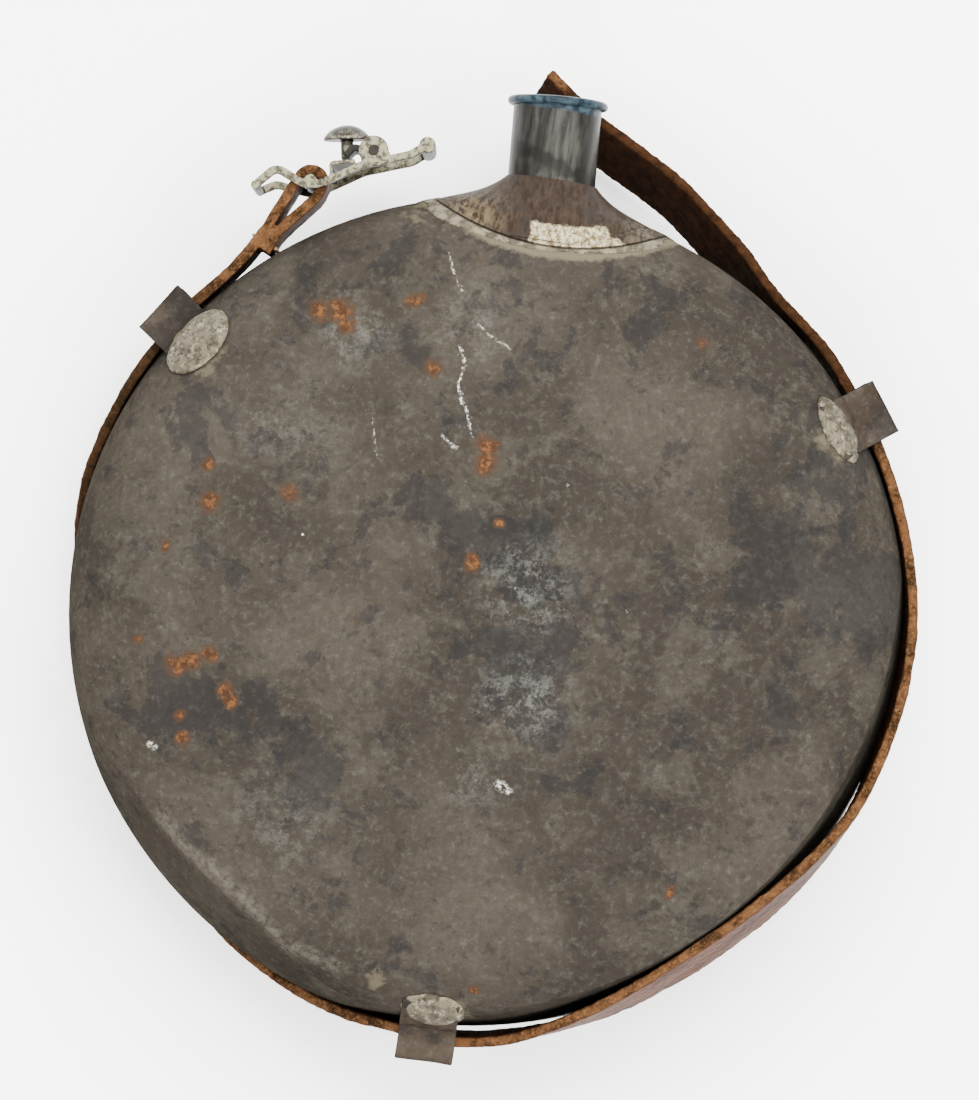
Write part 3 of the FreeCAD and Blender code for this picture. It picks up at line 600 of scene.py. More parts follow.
    def rusted(self, paint: Paint, colour: Socket, wobble: Socket) -> tuple[Socket, Socket]:
        """Lay the crumbs of rust, each in its thin brown veil.

        Args:
            paint: The material that is painted.
            colour: The colour so far.
            wobble: The shift that makes outlines ragged.

        Returns:
            The colour and the mask of the rust.
        """
        crumbs = paint.cloud(2.2, detail=7, rough=0.72)
        if self.marked:
            rusty = paint.marks(RUST_SPOTS, paint.moved(paint.flat, wobble, 0.4))
        else:
            rusty = paint.mask(paint.cloud(16, detail=2), (0.6, 0.8))
        colour = paint.lay(colour, self.stain, paint.mask(paint.plus(crumbs, rusty), (0.7, 1.15)),
                           0.75)
        rust = paint.mask(paint.plus(crumbs, paint.times(rusty, 0.5)), (0.78, 0.94))
        tone = paint.lay(self.rust, self.bright_rust,
                         paint.mask(paint.cloud(1.5, detail=6, rough=0.75), (0.44, 0.6)))
        return paint.lay(colour, tone, rust, 0.85), rust

    def scratched(self, paint: Paint, colour: Socket, wobble: Socket) -> Socket:
        """Scratch the front down to bare metal, in frayed and broken lines and specks.

        Args:
            paint: The material that is painted.
            colour: The colour so far.
            wobble: The shift that makes outlines ragged.

        Returns:
            The colour.
        """
        jitter = paint.moved(paint.flat, wobble, 0.2)
        frayed = paint.moved(jitter, paint.stray(1.4, reach=2.4, detail=6, rough=0.75))
        lines = paint.most(*[paint.scratch(scratch, frayed) for scratch in SCRATCHES])
        torn = paint.mask(paint.cloud(1.0, detail=7, rough=0.8), (0.47, 0.58))
        specks = paint.mask(paint.marks(BRIGHT_SPECKS, jitter), (0.1, 0.7))
        bright = paint.times(paint.most(paint.mask(lines, (0.0, 0.6)), specks), torn)
        return paint.lay(colour, self.scratch, bright, 0.6)

    def smeared(self, paint: Paint, colour: Socket, loose: Socket) -> Socket:
        """Smear solder beside the joints.

        Args:
            paint: The material that is painted.
            colour: The colour so far.
            loose: The places, with ragged outlines.

        Returns:
            The colour.
        """
        beside = paint.times(paint.marks(SOLDER_SMEARS, loose), 0.5)
        smear = paint.mask(paint.plus(paint.cloud(2.4, detail=5, rough=0.65), beside), (0.7, 1.0))
        return paint.lay(colour, SOLDER_BEIGE, smear, 0.55)

    def paint_flat_shade_and_crease_highlight(self, paint: Paint, colour: Socket, wobble: Socket, mottle: Socket) -> Socket:
        """Paint shade on the knocked flat at the lower left, and a painted highlight along the
        crease beside it.

        Args:
            paint: The material that is painted.
            colour: The colour so far.
            wobble: The shift that makes outlines ragged.
            mottle: The fine mottle.

        Returns:
            The colour.
        """
        side = paint.add("ShaderNodeVectorMath", paint.flat, KNOCKED_WAY, operation="DOT_PRODUCT",
                         output="Value")
        side = paint.plus(side, paint.times(paint.cloud(5, detail=5, rough=0.7), 4.0))
        # Painted shade on the knocked flat, where it slopes away from the light
        colour = paint.lay(colour, self.knocked, paint.mask(side, KNOCKED_EDGE), 0.25)
        jitter = paint.moved(paint.flat, wobble, 0.2)
        # Painted highlight along the crease, broken by the mottle
        crease = paint.times(paint.scratch(CREASE_HIGHLIGHT, jitter), paint.mask(mottle, (0.36, 0.6)))
        return paint.lay(colour, self.crease, crease, 0.4)

    def soldered(self, paint: Paint, colour: Socket) -> Socket:
        """Lay the thin solder that has run onto the shell beyond the collar's lip.

        Args:
            paint: The material that is painted.
            colour: The colour so far.

        Returns:
            The colour.
        """
        ragged = paint.times(paint.cloud(2.6, detail=8, rough=0.75), 4.0)
        band = paint.mask(paint.plus(LIP.reach(paint), ragged), LIP.soldered)
        return paint.lay(colour, SOLDER_BEIGE, band, 0.8)


@dataclass(frozen=True)
class NeckTin:
    """Drawn tin of the neck: handled grey with streaks along it, a painted highlight down its
    middle, painted shade to the right of it, a cold rim and a dark stain.

    Args:
        dark: The darker streaks.
        grey: The lighter streaks.
        pale: The palest smudges.
        painted_highlight: The painted highlight down the middle of the tube.
        painted_shade: The painted shade in a band to the right of it.
        stain: The slanting stain.
        foot: The brown towards the collar.
        cold: The darker blue grey of the rim.
        frost: The lighter blue grey of the rim.
    """

    dark: str = "#11100e"
    grey: str = "#23221f"
    pale: str = "#383733"
    painted_highlight: str = "#42413c"
    painted_shade: str = "#0e0d0b"
    stain: str = "#0c0a08"
    foot: str = "#17110b"
    cold: str = "#0e171d"
    frost: str = "#28343a"

    def material(self) -> bpy.types.Material:
        """Mix the whole finish.

        Returns:
            The material.
        """
        paint = Paint("neck_tin", (90.0, 40.0, 10.0))
        across = paint.add("ShaderNodeSeparateXYZ", paint.place, output="X")
        along = paint.add("ShaderNodeSeparateXYZ", paint.place, output="Y")
        streak = paint.cloud(1.5, detail=4, rough=0.6, stretch=(1.0, 0.1, 1.0))
        colour = paint.lay(self.dark, self.grey, paint.mask(streak, (0.36, 0.66)))
        smudge = paint.cloud(3.4, detail=6, rough=0.7, stretch=(1.0, 0.3, 1.0))
        colour = paint.lay(colour, self.pale, paint.mask(smudge, (0.53, 0.66)), 0.4)
        # Painted highlight down the middle of the tube, where it faces the light, and painted shade
        # in a band to the right of it
        middle = paint.mask(across, (-5.0, 0.5), (6.0, 3.0))
        colour = paint.lay(colour, self.painted_highlight, middle, paint.mask(streak, (0.3, 0.7)), 0.35)
        colour = paint.lay(colour, self.painted_shade, paint.mask(across, (4.5, 6.0), (9.0, 7.6)), 0.5)
        # The stain runs round aslant, at about 108 mm from the canteen's middle
        slant = paint.add("ShaderNodeMath", across, 0.3, 0.0, operation="MULTIPLY_ADD")
        level = paint.plus(along, slant, paint.times(paint.cloud(4, detail=4, rough=0.6), 7.0))
        stain = paint.mask(level, (113.5, 111.5), (107.5, 110.5))
        colour = paint.lay(colour, self.stain, stain, 0.75)
        colour = paint.lay(colour, self.foot, paint.mask(level, (108.0, 99.0)), 0.55)
        rim = paint.lay(self.cold, self.frost,
                        paint.mask(paint.cloud(2.5, detail=4, rough=0.6), (0.4, 0.6)))
        colour = paint.lay(colour, rim, paint.mask(along, (119.4, 120.4)))
        normal = paint.relief((paint.cloud(9, detail=2), 0.3), (streak, 0.04))
        return paint.finish(Base_Color=colour, Metallic=0.06, Roughness=0.36, Normal=normal,
                            Specular_IOR_Level=0.06)


@dataclass(frozen=True)
class SkirtTin:
    """Hammered tin of the collar: streaked brown, scraped bright at the lip, beige beyond it.

    Args:
        name: The material's name.
        brown: The darker streaks.
        tan: The lighter streaks.
        cloud: The grey clouds over them.
        worn: The places rubbed pale, each with its colour.
        scraped: The darker and the lighter colour of the scraped patch.
        left_end: Where the patch starts across the canteen, in millimetres.
        right_end: Where it ends along its slant, in millimetres.
        solder: The darker and the lighter colour of the solder beyond the lip.
        line: The dark line of the lip.
    """

    name: str
    brown: str = "#1a130e"
    tan: str = "#2c251f"
    cloud: str = "#1d1c1b"
    worn: tuple[tuple[Mark, str], ...] = (
        (Mark(-18, 91.5, 12), "#574d39"),
        (Mark(23, 93, 8), "#4a4438"),
    )
    scraped: tuple[str, str] = ("#453b26", "#948b72")
    left_end: Spot = (-1.4, -0.6)
    right_end: Spot = (-44.8, -45.8)
    solder: tuple[str, str] = ("#363128", "#5b5648")
    line: str = "#0a0806"

    def material(self) -> bpy.types.Material:
        """Mix the whole finish.

        Returns:
            The material.
        """
        paint = Paint(self.name, (15.0, 60.0, 30.0))
        streak = paint.cloud(1.3, detail=6, rough=0.7, warp=0.2, stretch=(1.0, 0.16, 0.5))
        colour = paint.lay(self.brown, self.tan, paint.mask(streak, (0.28, 0.7)))
        cloud = paint.cloud(6, detail=6, rough=0.7)
        colour = paint.lay(colour, self.cloud, paint.mask(cloud, (0.45, 0.65)), 0.5)
        for mark, pale in self.worn:
            rubbed = paint.times(paint.marks((mark,), paint.flat), paint.mask(streak, (0.4, 0.62)))
            colour = paint.lay(colour, pale, rubbed, 0.7)
        colour = paint.lay(colour, self.bare(paint), self.scrape(paint),
                           paint.mask(cloud, (0.28, 0.36)))
        reach = LIP.reach(paint)
        beige = paint.lay(*self.solder,
                          paint.mask(paint.cloud(2.8, detail=6, rough=0.7), (0.4, 0.62)))
        colour = paint.lay(colour, beige, paint.mask(reach, (LIP.radius, LIP.radius + 0.3)))
        lip = paint.mask(reach, (LIP.radius - 0.35, LIP.radius - 0.1),
                         (LIP.radius + 0.45, LIP.radius + 0.15))
        colour = paint.lay(colour, self.line, lip, 0.9)
        normal = paint.relief((paint.cloud(8, detail=2), 0.3), (streak, 0.12), (lip, -0.2))
        return paint.finish(Base_Color=colour, Roughness=0.46, Normal=normal,
                            Specular_IOR_Level=0.01)

    def bare(self, paint: Paint) -> Socket:
        """Return the colour of the scraped metal."""
        grain = paint.cloud(1.0, detail=6, rough=0.75, warp=0.2, stretch=(1.0, 0.45, 1.0))
        return paint.lay(*self.scraped, paint.mask(grain, (0.4, 0.62)))

    def scrape(self, paint: Paint) -> Socket:
        """Make the mask of the scraped patch, whose right end is slanted.

        Args:
            paint: The material that is painted.

        Returns:
            The mask.
        """
        ragged = paint.times(paint.cloud(2.4, detail=6, rough=0.75), 3.0)
        reach = paint.plus(LIP.reach(paint), ragged)
        across = paint.add("ShaderNodeSeparateXYZ", paint.place, output="X")
        across = paint.plus(across, paint.times(paint.cloud(3, detail=4, rough=0.6), 4.0))
        slanted = paint.add("ShaderNodeMath", across, paint.times(reach, 1.2),
                            operation="SUBTRACT")
        return paint.times(paint.mask(reach, LIP.scraped), paint.mask(across, self.left_end),
                           paint.mask(slanted, self.right_end))


@dataclass(frozen=True)
class DullSolder:
    """Old soft solder, run on by hand: beige grey lumps with scraped spots and dark dirt.

    Args:
        name: The material's name.
        offset: A shift that gives each joint a pattern of its own.
        shade: The darker of the two beiges.
        beige: The lighter of the two.
        scraped: The scraped spots.
        dirt: The dirt in its pits.
        stroke: The thin dirty lines left by the iron's strokes.
    """

    name: str
    offset: Place = (0.0, 0.0, 0.0)
    shade: str = "#302c22"
    beige: str = "#4d483b"
    scraped: str = "#797365"
    dirt: str = "#15100c"
    stroke: str = "#1e1913"

    def material(self) -> bpy.types.Material:
        """Mix the whole finish.

        Returns:
            The material.
        """
        paint = Paint(self.name, self.offset)
        colour = paint.lay(self.shade, self.beige,
                           paint.mask(paint.cloud(4, detail=5, rough=0.65), (0.38, 0.6)))
        scraped = paint.mask(paint.cloud(1.8, detail=7, rough=0.75), (0.53, 0.62))
        colour = paint.lay(colour, self.scraped, scraped, 0.65)
        dirt = paint.mask(paint.cloud(1.2, detail=6, rough=0.75), (0.53, 0.62))
        colour = paint.lay(colour, self.dirt, dirt, 0.75)
        swirl = paint.cloud(3.0, detail=3, rough=0.6, warp=2.2)
        stroke = paint.mask(swirl, (0.485, 0.5), (0.53, 0.51))
        colour = paint.lay(colour, self.stroke, stroke, 0.6)
        normal = paint.relief((paint.cloud(2.5, detail=4, rough=0.6), 0.2))
        return paint.finish(Base_Color=colour, Roughness=0.5, Normal=normal,
                            Specular_IOR_Level=0.05)


@dataclass(frozen=True)
class WornLeather:
    """Worn strap leather: smooth red-brown grain, dark rough flesh and pale frayed edges.

    The piece says where it shows its cut edge and its flesh, by attributes of those names.

    Args:
        grain: The darker and the lighter colour of the smooth side.
        crease: The dark creases in it.
        flesh: The darker and the lighter colour of the rough side.
        fibre: The loose fibres on it.
        edge: The darker and the lighter colour of the cut edge.
        frayed: The pale threads on the edge.
        handled: The dark olive of the run up the left side.
        dark_run: Where that run lies.
    """

    grain: tuple[str, str] = ("#2d180f", "#40271b")
    crease: str = "#150907"
    flesh: tuple[str, str] = ("#130a05", "#27170c")
    fibre: str = "#3b2314"
    edge: tuple[str, str] = ("#1c1209", "#432c1a")
    frayed: str = "#63482e"
    handled: str = "#140f08"
    dark_run: Mark = Mark(-92.0, 24.0, 62.0)

    def material(self) -> bpy.types.Material:
        """Mix the whole finish.

        Returns:
            The material.
        """
        paint = Paint("worn_leather")
        edge = paint.add("ShaderNodeAttribute", attribute_name="edge", output="Fac")
        flesh = paint.add("ShaderNodeAttribute", attribute_name="flesh", output="Fac")
        grain = paint.lay(*self.grain,
                          paint.mask(paint.cloud(14, detail=4, rough=0.6), (0.35, 0.65)))
        crease = paint.cloud(2.2, detail=6, rough=0.65, warp=0.4)
        grain = paint.lay(grain, self.crease, paint.mask(crease, (0.55, 0.66)), 0.6)
        rough_side = paint.lay(*self.flesh,
                               paint.mask(paint.cloud(3, detail=6, rough=0.7), (0.35, 0.65)))
        fibre = paint.mask(paint.cloud(0.7, detail=5, rough=0.8), (0.5, 0.7))
        rough_side = paint.lay(rough_side, self.fibre, fibre, 0.45)
        colour = paint.lay(grain, rough_side, flesh)
        colour = paint.lay(colour, self.cut_edge(paint), edge)
        torn = paint.most(edge, flesh)
        rough = paint.add("ShaderNodeMath", torn, 0.35, 0.45, operation="MULTIPLY_ADD")
        fuzz = paint.times(paint.cloud(0.5, detail=3, rough=0.7), torn)
        normal = paint.relief((paint.cloud(6, detail=3, rough=0.5), 0.15), (crease, 0.12),
                              (fuzz, 0.25))
        return paint.finish(Base_Color=colour, Roughness=rough, Normal=normal,
                            Specular_IOR_Level=0.01)

    def cut_edge(self, paint: Paint) -> Socket:
        """Mix the colour of the cut edge, darker where the strap runs up the left side.

        Args:
            paint: The material that is painted.

        Returns:
            The colour.
        """
        colour = paint.lay(*self.edge,
                           paint.mask(paint.cloud(5, detail=6, rough=0.72), (0.38, 0.6)))
        threads = paint.mask(paint.cloud(0.8, detail=5, rough=0.75), (0.5, 0.66))
        colour = paint.lay(colour, self.frayed, threads, 0.5)
        handled = paint.mask(paint.marks((self.dark_run,), paint.flat), (0.0, 0.4))
        return paint.lay(colour, self.handled, handled, 0.75)


@dataclass(frozen=True)
class IronWithDirtAndPaintedLight:
    """Tinned iron of the clasp: a painted highlight on its upper side, painted shade down its
    flanks, and dirt in its pits.

    Args:
        name: The material's name.
        dark: Colour of the flanks, in painted shade.
        light: Colour of the upper side, a painted highlight.
        rough: Roughness.
        dirt: The dirt in its pits.
    """

    name: str
    dark: str
    light: str
    rough: float
    dirt: str = "#15100b"

    def material(self) -> bpy.types.Material:
        """Mix the whole finish.

        Returns:
            The material.
        """
        paint = Paint(self.name)
        # Painted light: the more a face looks up, the lighter it is painted, broken by a cloud
        painted_light_facing = paint.add("ShaderNodeTexCoord", output="Normal")
        painted_light_facing = paint.add("ShaderNodeSeparateXYZ", painted_light_facing, output="Z")
        rubbed = paint.plus(painted_light_facing, paint.times(paint.cloud(1.8, detail=7, rough=0.75), 2.4))
        colour = paint.lay(self.dark, self.light, paint.mask(rubbed, (1.6, 2.3)))
        dirt = paint.mask(paint.cloud(1.5, detail=6, rough=0.75), (0.48, 0.56))
        colour = paint.lay(colour, self.dirt, dirt, 0.8)
        normal = paint.relief((paint.cloud(0.9, detail=3, rough=0.6), 0.05))
        return paint.finish(Base_Color=colour, Metallic=0.12, Roughness=self.rough, Normal=normal,
                            Specular_IOR_Level=0.08)


@dataclass(frozen=True)
class WaxedThread:
    """Waxed linen thread, spun: two browns that change along each stitch.

    Args:
        shade: The darker brown.
        wax: The lighter, waxy brown.
    """

    shade: str = "#4a3520"
    wax: str = "#8a6a44"

    def material(self) -> bpy.types.Material:
        """Mix the finish.

        Returns:
            The material.
        """
        paint = Paint("waxed_thread")
        colour = paint.lay(self.shade, self.wax, paint.cloud(0.6, detail=3))
        return paint.finish(Base_Color=colour, Roughness=0.7)


@dataclass(frozen=True)
class WhiteTable:
    """A painted table top: near white and matt, with clouds too faint to notice.

    Args:
        cream: The darker white.
        white: The lighter white.
    """

    cream: str = "#fbfaf8"
    white: str = "#fefefd"

    def material(self) -> bpy.types.Material:
        """Mix the finish.

        Returns:
            The material.
        """
        paint = Paint("white_table")
        colour = paint.lay(self.cream, self.white, paint.cloud(160, detail=2))
        return paint.finish(Base_Color=colour, Roughness=0.8)


def surface(mesh: bpy.types.Mesh) -> tuple[np.ndarray, np.ndarray]:
    """Read where a mesh's points lie and where they face.

    Args:
        mesh: The mesh.

    Returns:
        The places and the directions, one row for each point.
    """
    count = len(mesh.vertices)
    places = np.zeros(count * 3)
    mesh.vertices.foreach_get("co", places)
    normals = np.zeros(count * 3, np.float32)
    mesh.vertex_normals.foreach_get("vector", normals)
    return places.reshape(-1, 3), normals.reshape(-1, 3).astype(float)


@dataclass
class Piece:
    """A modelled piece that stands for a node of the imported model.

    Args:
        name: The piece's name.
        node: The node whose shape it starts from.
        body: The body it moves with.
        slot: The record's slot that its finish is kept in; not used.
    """

    name: str
    node: str
    body: Body
    slot: Slot
    thing: bpy.types.Object = field(init=False)

    def copy_node(self, frame: dict) -> None:
        """Start from a closed copy of the node's shape.

        Args:
            frame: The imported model.
        """
        mesh = frame["nodes"][self.node].data.copy()
        mesh.name = self.name
        mesh.materials.clear()
        form = bmesh.new()
        form.from_mesh(mesh)
        bmesh.ops.remove_doubles(form, verts=form.verts, dist=WELD)
        form.to_mesh(mesh)
        form.free()
        self.thing = bpy.data.objects.new(self.name, mesh)
        bpy.context.scene.collection.objects.link(self.thing)

    def settle(self) -> None:
        """Apply every modifier that the piece has, in order."""
        bpy.ops.object.select_all(action="DESELECT")
        self.thing.select_set(True)
        bpy.context.view_layer.objects.active = self.thing
        for name in [modifier.name for modifier in self.thing.modifiers]:
            bpy.ops.object.modifier_apply(modifier=name)

    def keep_part(self, cutter: bpy.types.Object, inside: bool) -> None:
        """Keep only one side of a cut.

        Args:
            cutter: The closed block that divides the piece.
            inside: Whether the part inside the block is kept, or the part outside it.
        """
        cut = self.thing.modifiers.new("cut", "BOOLEAN")
        cut.object = cutter
        cut.operation = "INTERSECT" if inside else "DIFFERENCE"
        cut.solver = "EXACT"
        self.settle()

    def remesh(self, voxel: float, passes: int) -> None:
        """Rebuild the surface with even small faces and ease its corners.

        Args:
            voxel: Size of the faces, in millimetres.
            passes: How often the surface is smoothed.
        """
        grid = self.thing.modifiers.new("even", "REMESH")
        grid.mode = "VOXEL"
        grid.voxel_size = voxel * MM
        grid.use_smooth_shade = True
        ease = self.thing.modifiers.new("ease", "SMOOTH")
        ease.factor = 0.5
        ease.iterations = passes
        self.settle()

    def roughen(self, size: float, depth: float, seed: float) -> None:
        """Push the surface in and out with a cloud.

        Args:
            size: About how large the swellings are, in millimetres.
            depth: How far they stand out at most, in millimetres.
            seed: A shift that gives each piece a cloud of its own.
        """
        mesh = self.thing.data
        places, normals = surface(mesh)
        shift = Vector((seed, -seed, seed))
        swell = [noise.noise(Vector(place) + shift) for place in places / (size * MM)]
        places += normals * (np.array(swell)[:, None] * depth * MM)
        mesh.vertices.foreach_set("co", places.ravel())
        mesh.update()

    def seat(self, material: bpy.types.Material) -> None:
        """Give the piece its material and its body.

        Args:
            material: The material.
        """
        self.thing.data.materials.clear()
        self.thing.data.materials.append(material)
        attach(self.thing, self.body.value)
        LOG.info("%s has %d faces of %s", self.name, len(self.thing.data.polygons), material.name)

    def replace_node(self) -> None:
        """Let the piece stand in its node's place."""
        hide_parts(self.node)


@dataclass
class Assembly:
    """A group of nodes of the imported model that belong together.

    Args:
        frame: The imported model.
    """

    frame: dict

    def coat(self, node: str, material: bpy.types.Material) -> None:
        """Give a node its material and leave its shape as it is.

        Args:
            node: The node.
            material: The material.
        """
        mesh = self.frame["nodes"][node].data
        mesh.materials.clear()
        mesh.materials.append(material)
        LOG.info("%s keeps its shape, in %s", node, material.name)


@dataclass
class Shells(Assembly):
    """The two dished shells and the solder of the seam between them.

    Args:
        frame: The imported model.
        back_offset: Shift of the back's pattern, in millimetres.
        seam_offset: Shift of the seam's pattern.
    """

    back_offset: Place = (310.0, 120.0, 50.0)
    seam_offset: Place = (5.0, 5.0, 5.0)

    def build(self) -> None:
        """Finish both shells and their seam."""
        self.coat("front_shell", PatinatedTin("front_tin", marked=True).material())
        self.coat("back_shell", PatinatedTin("back_tin", offset=self.back_offset).material())
        self.coat("seam_solder", DullSolder("seam_solder", self.seam_offset).material())


@dataclass
class Neck(Assembly):
    """The neck with its rolled rim, the collar that carries it and the solder under the collar.

    Args:
        frame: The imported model.
        voxel: Size of the solder's faces, in millimetres.
        lump: Size of its unevenness, in millimetres.
        depth: Depth of its unevenness, in millimetres.
        seed: Shift of its unevenness.
    """

    voxel: float = 0.25
    lump: float = 3.2
    depth: float = 0.12
    seed: float = 11.0

    def build(self) -> None:
        """Finish the neck and the collar, and make the solder a thin uneven film."""
        self.coat("neck_tube", NeckTin().material())
        self.coat("neck_skirt", SkirtTin("skirt_tin").material())
        film = Piece("skirt_solder_lump", "skirt_solder", Body.CANTEEN, Slot.SOLDER)
        film.copy_node(self.frame)
        film.remesh(self.voxel, passes=1)
        film.roughen(self.lump, self.depth, self.seed)
        film.seat(SkirtTin("collar_solder").material())
        film.replace_node()


@dataclass
class Loops(Assembly):
    """The three strap loops and the solder that holds each of them to both shells.

    Args:
        frame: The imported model.
        tin: The finish of the loops.
        sides: Where the loops are.
        voxel: Size of a loop's faces, in millimetres.
        dent: Size of its dents, in millimetres.
        dent_depth: Depth of its dents, in millimetres.
        dent_seed: Shift of the first loop's dents.
        lump_voxel: Size of a solder lump's faces, in millimetres.
        lump: Size of its unevenness, in millimetres.
        lump_depth: Depth of its unevenness, in millimetres.
        lump_seed: Shift of the first lump's unevenness.
    """

    tin: PatinatedTin = PatinatedTin("loop_tin", low="#201b16", high="#2d2721", crust="#342e27",
                                     offset=(20.0, 70.0, 90.0))
    sides: tuple[str, ...] = ("left", "right", "bottom")
    voxel: float = 0.26
    dent: float = 7.0
    dent_depth: float = 0.2
    dent_seed: float = 20.0
    lump_voxel: float = 0.25
    lump: float = 3.2
    lump_depth: float = 0.35
    lump_seed: float = 12.0

    def build(self) -> None:
        """Make every loop and every lump of solder."""
        tin = self.tin.material()
        for number, side in enumerate(self.sides):
            self.bend_loop(f"{side}_loop", tin, self.dent_seed + number)
        solder = DullSolder("dull_solder").material()
        lumps = [f"{side}_{face}_solder" for side in self.sides for face in ("front", "back")]
        for number, node in enumerate(lumps):
            self.melt_lump(node, solder, self.lump_seed + number)

    def bend_loop(self, node: str, tin: bpy.types.Material, seed: float) -> None:
        """Ease a loop's corners and dent it a little.

        Args:
            node: The loop's node.
            tin: Its material.
            seed: Shift of its dents.
        """
        loop = Piece(f"{node}_eased", node, Body.CANTEEN, Slot.TIN)
        loop.copy_node(self.frame)
        loop.remesh(self.voxel, passes=2)
        loop.roughen(self.dent, self.dent_depth, seed)
        loop.seat(tin)
        loop.replace_node()

    def melt_lump(self, node: str, solder: bpy.types.Material, seed: float) -> None:
        """Make a solder joint uneven.

        Args:
            node: The joint's node.
            solder: Its material.
            seed: Shift of its unevenness.
        """
        lump = Piece(f"{node}_lump", node, Body.CANTEEN, Slot.SOLDER)
        lump.copy_node(self.frame)
        lump.remesh(self.lump_voxel, passes=1)
        lump.roughen(self.lump, self.lump_depth, seed)
        lump.seat(solder)
        lump.replace_node()


@dataclass
class Clasp(Assembly):
    """The clasp's frame, and its lever with the thumb pad and the pin.

    Args:
        frame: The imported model.
        voxel: Size of the faces, in millimetres.
        dent: Size of the dents, in millimetres.
        depth: Depth of the dents, in millimetres.
        seed: Shift of the dents.
    """

    voxel: float = 0.22
    dent: float = 4.0
    depth: float = 0.08
    seed: float = 5.0

    def build(self) -> None:
        """Finish the clasp's metal."""
        # Each iron is painted lighter on top and darker down its flanks, as painted highlight and
        # painted shade
        pale = IronWithDirtAndPaintedLight("tinned_iron", "#0a0908", "#67634f", 0.42).material()
        dark = IronWithDirtAndPaintedLight("dark_iron", "#060605", "#1b1915", 0.46).material()
        bright = IronWithDirtAndPaintedLight("bright_iron", "#0a0908", "#6b6758", 0.36).material()
        self.forge("clasp_frame", Body.CLASP, Slot.IRON, pale)
        self.forge("clasp_lever", Body.LEVER, Slot.IRON, dark)
        self.forge("thumb_pad", Body.LEVER, Slot.BRIGHT, bright)
        self.coat("clasp_pin", dark)

    def forge(self, node: str, body: Body, slot: Slot, iron: bpy.types.Material) -> None:
        """Ease the corners of one piece and dent it a little.

        Args:
            node: The piece's node.
            body: The body it moves with.
            slot: The record's slot.
            iron: Its material.
        """
        piece = Piece(f"{node}_eased", node, body, slot)
        piece.copy_node(self.frame)
        piece.remesh(self.voxel, passes=2)
        piece.roughen(self.dent, self.depth, self.seed)
        piece.seat(iron)
        piece.replace_node()


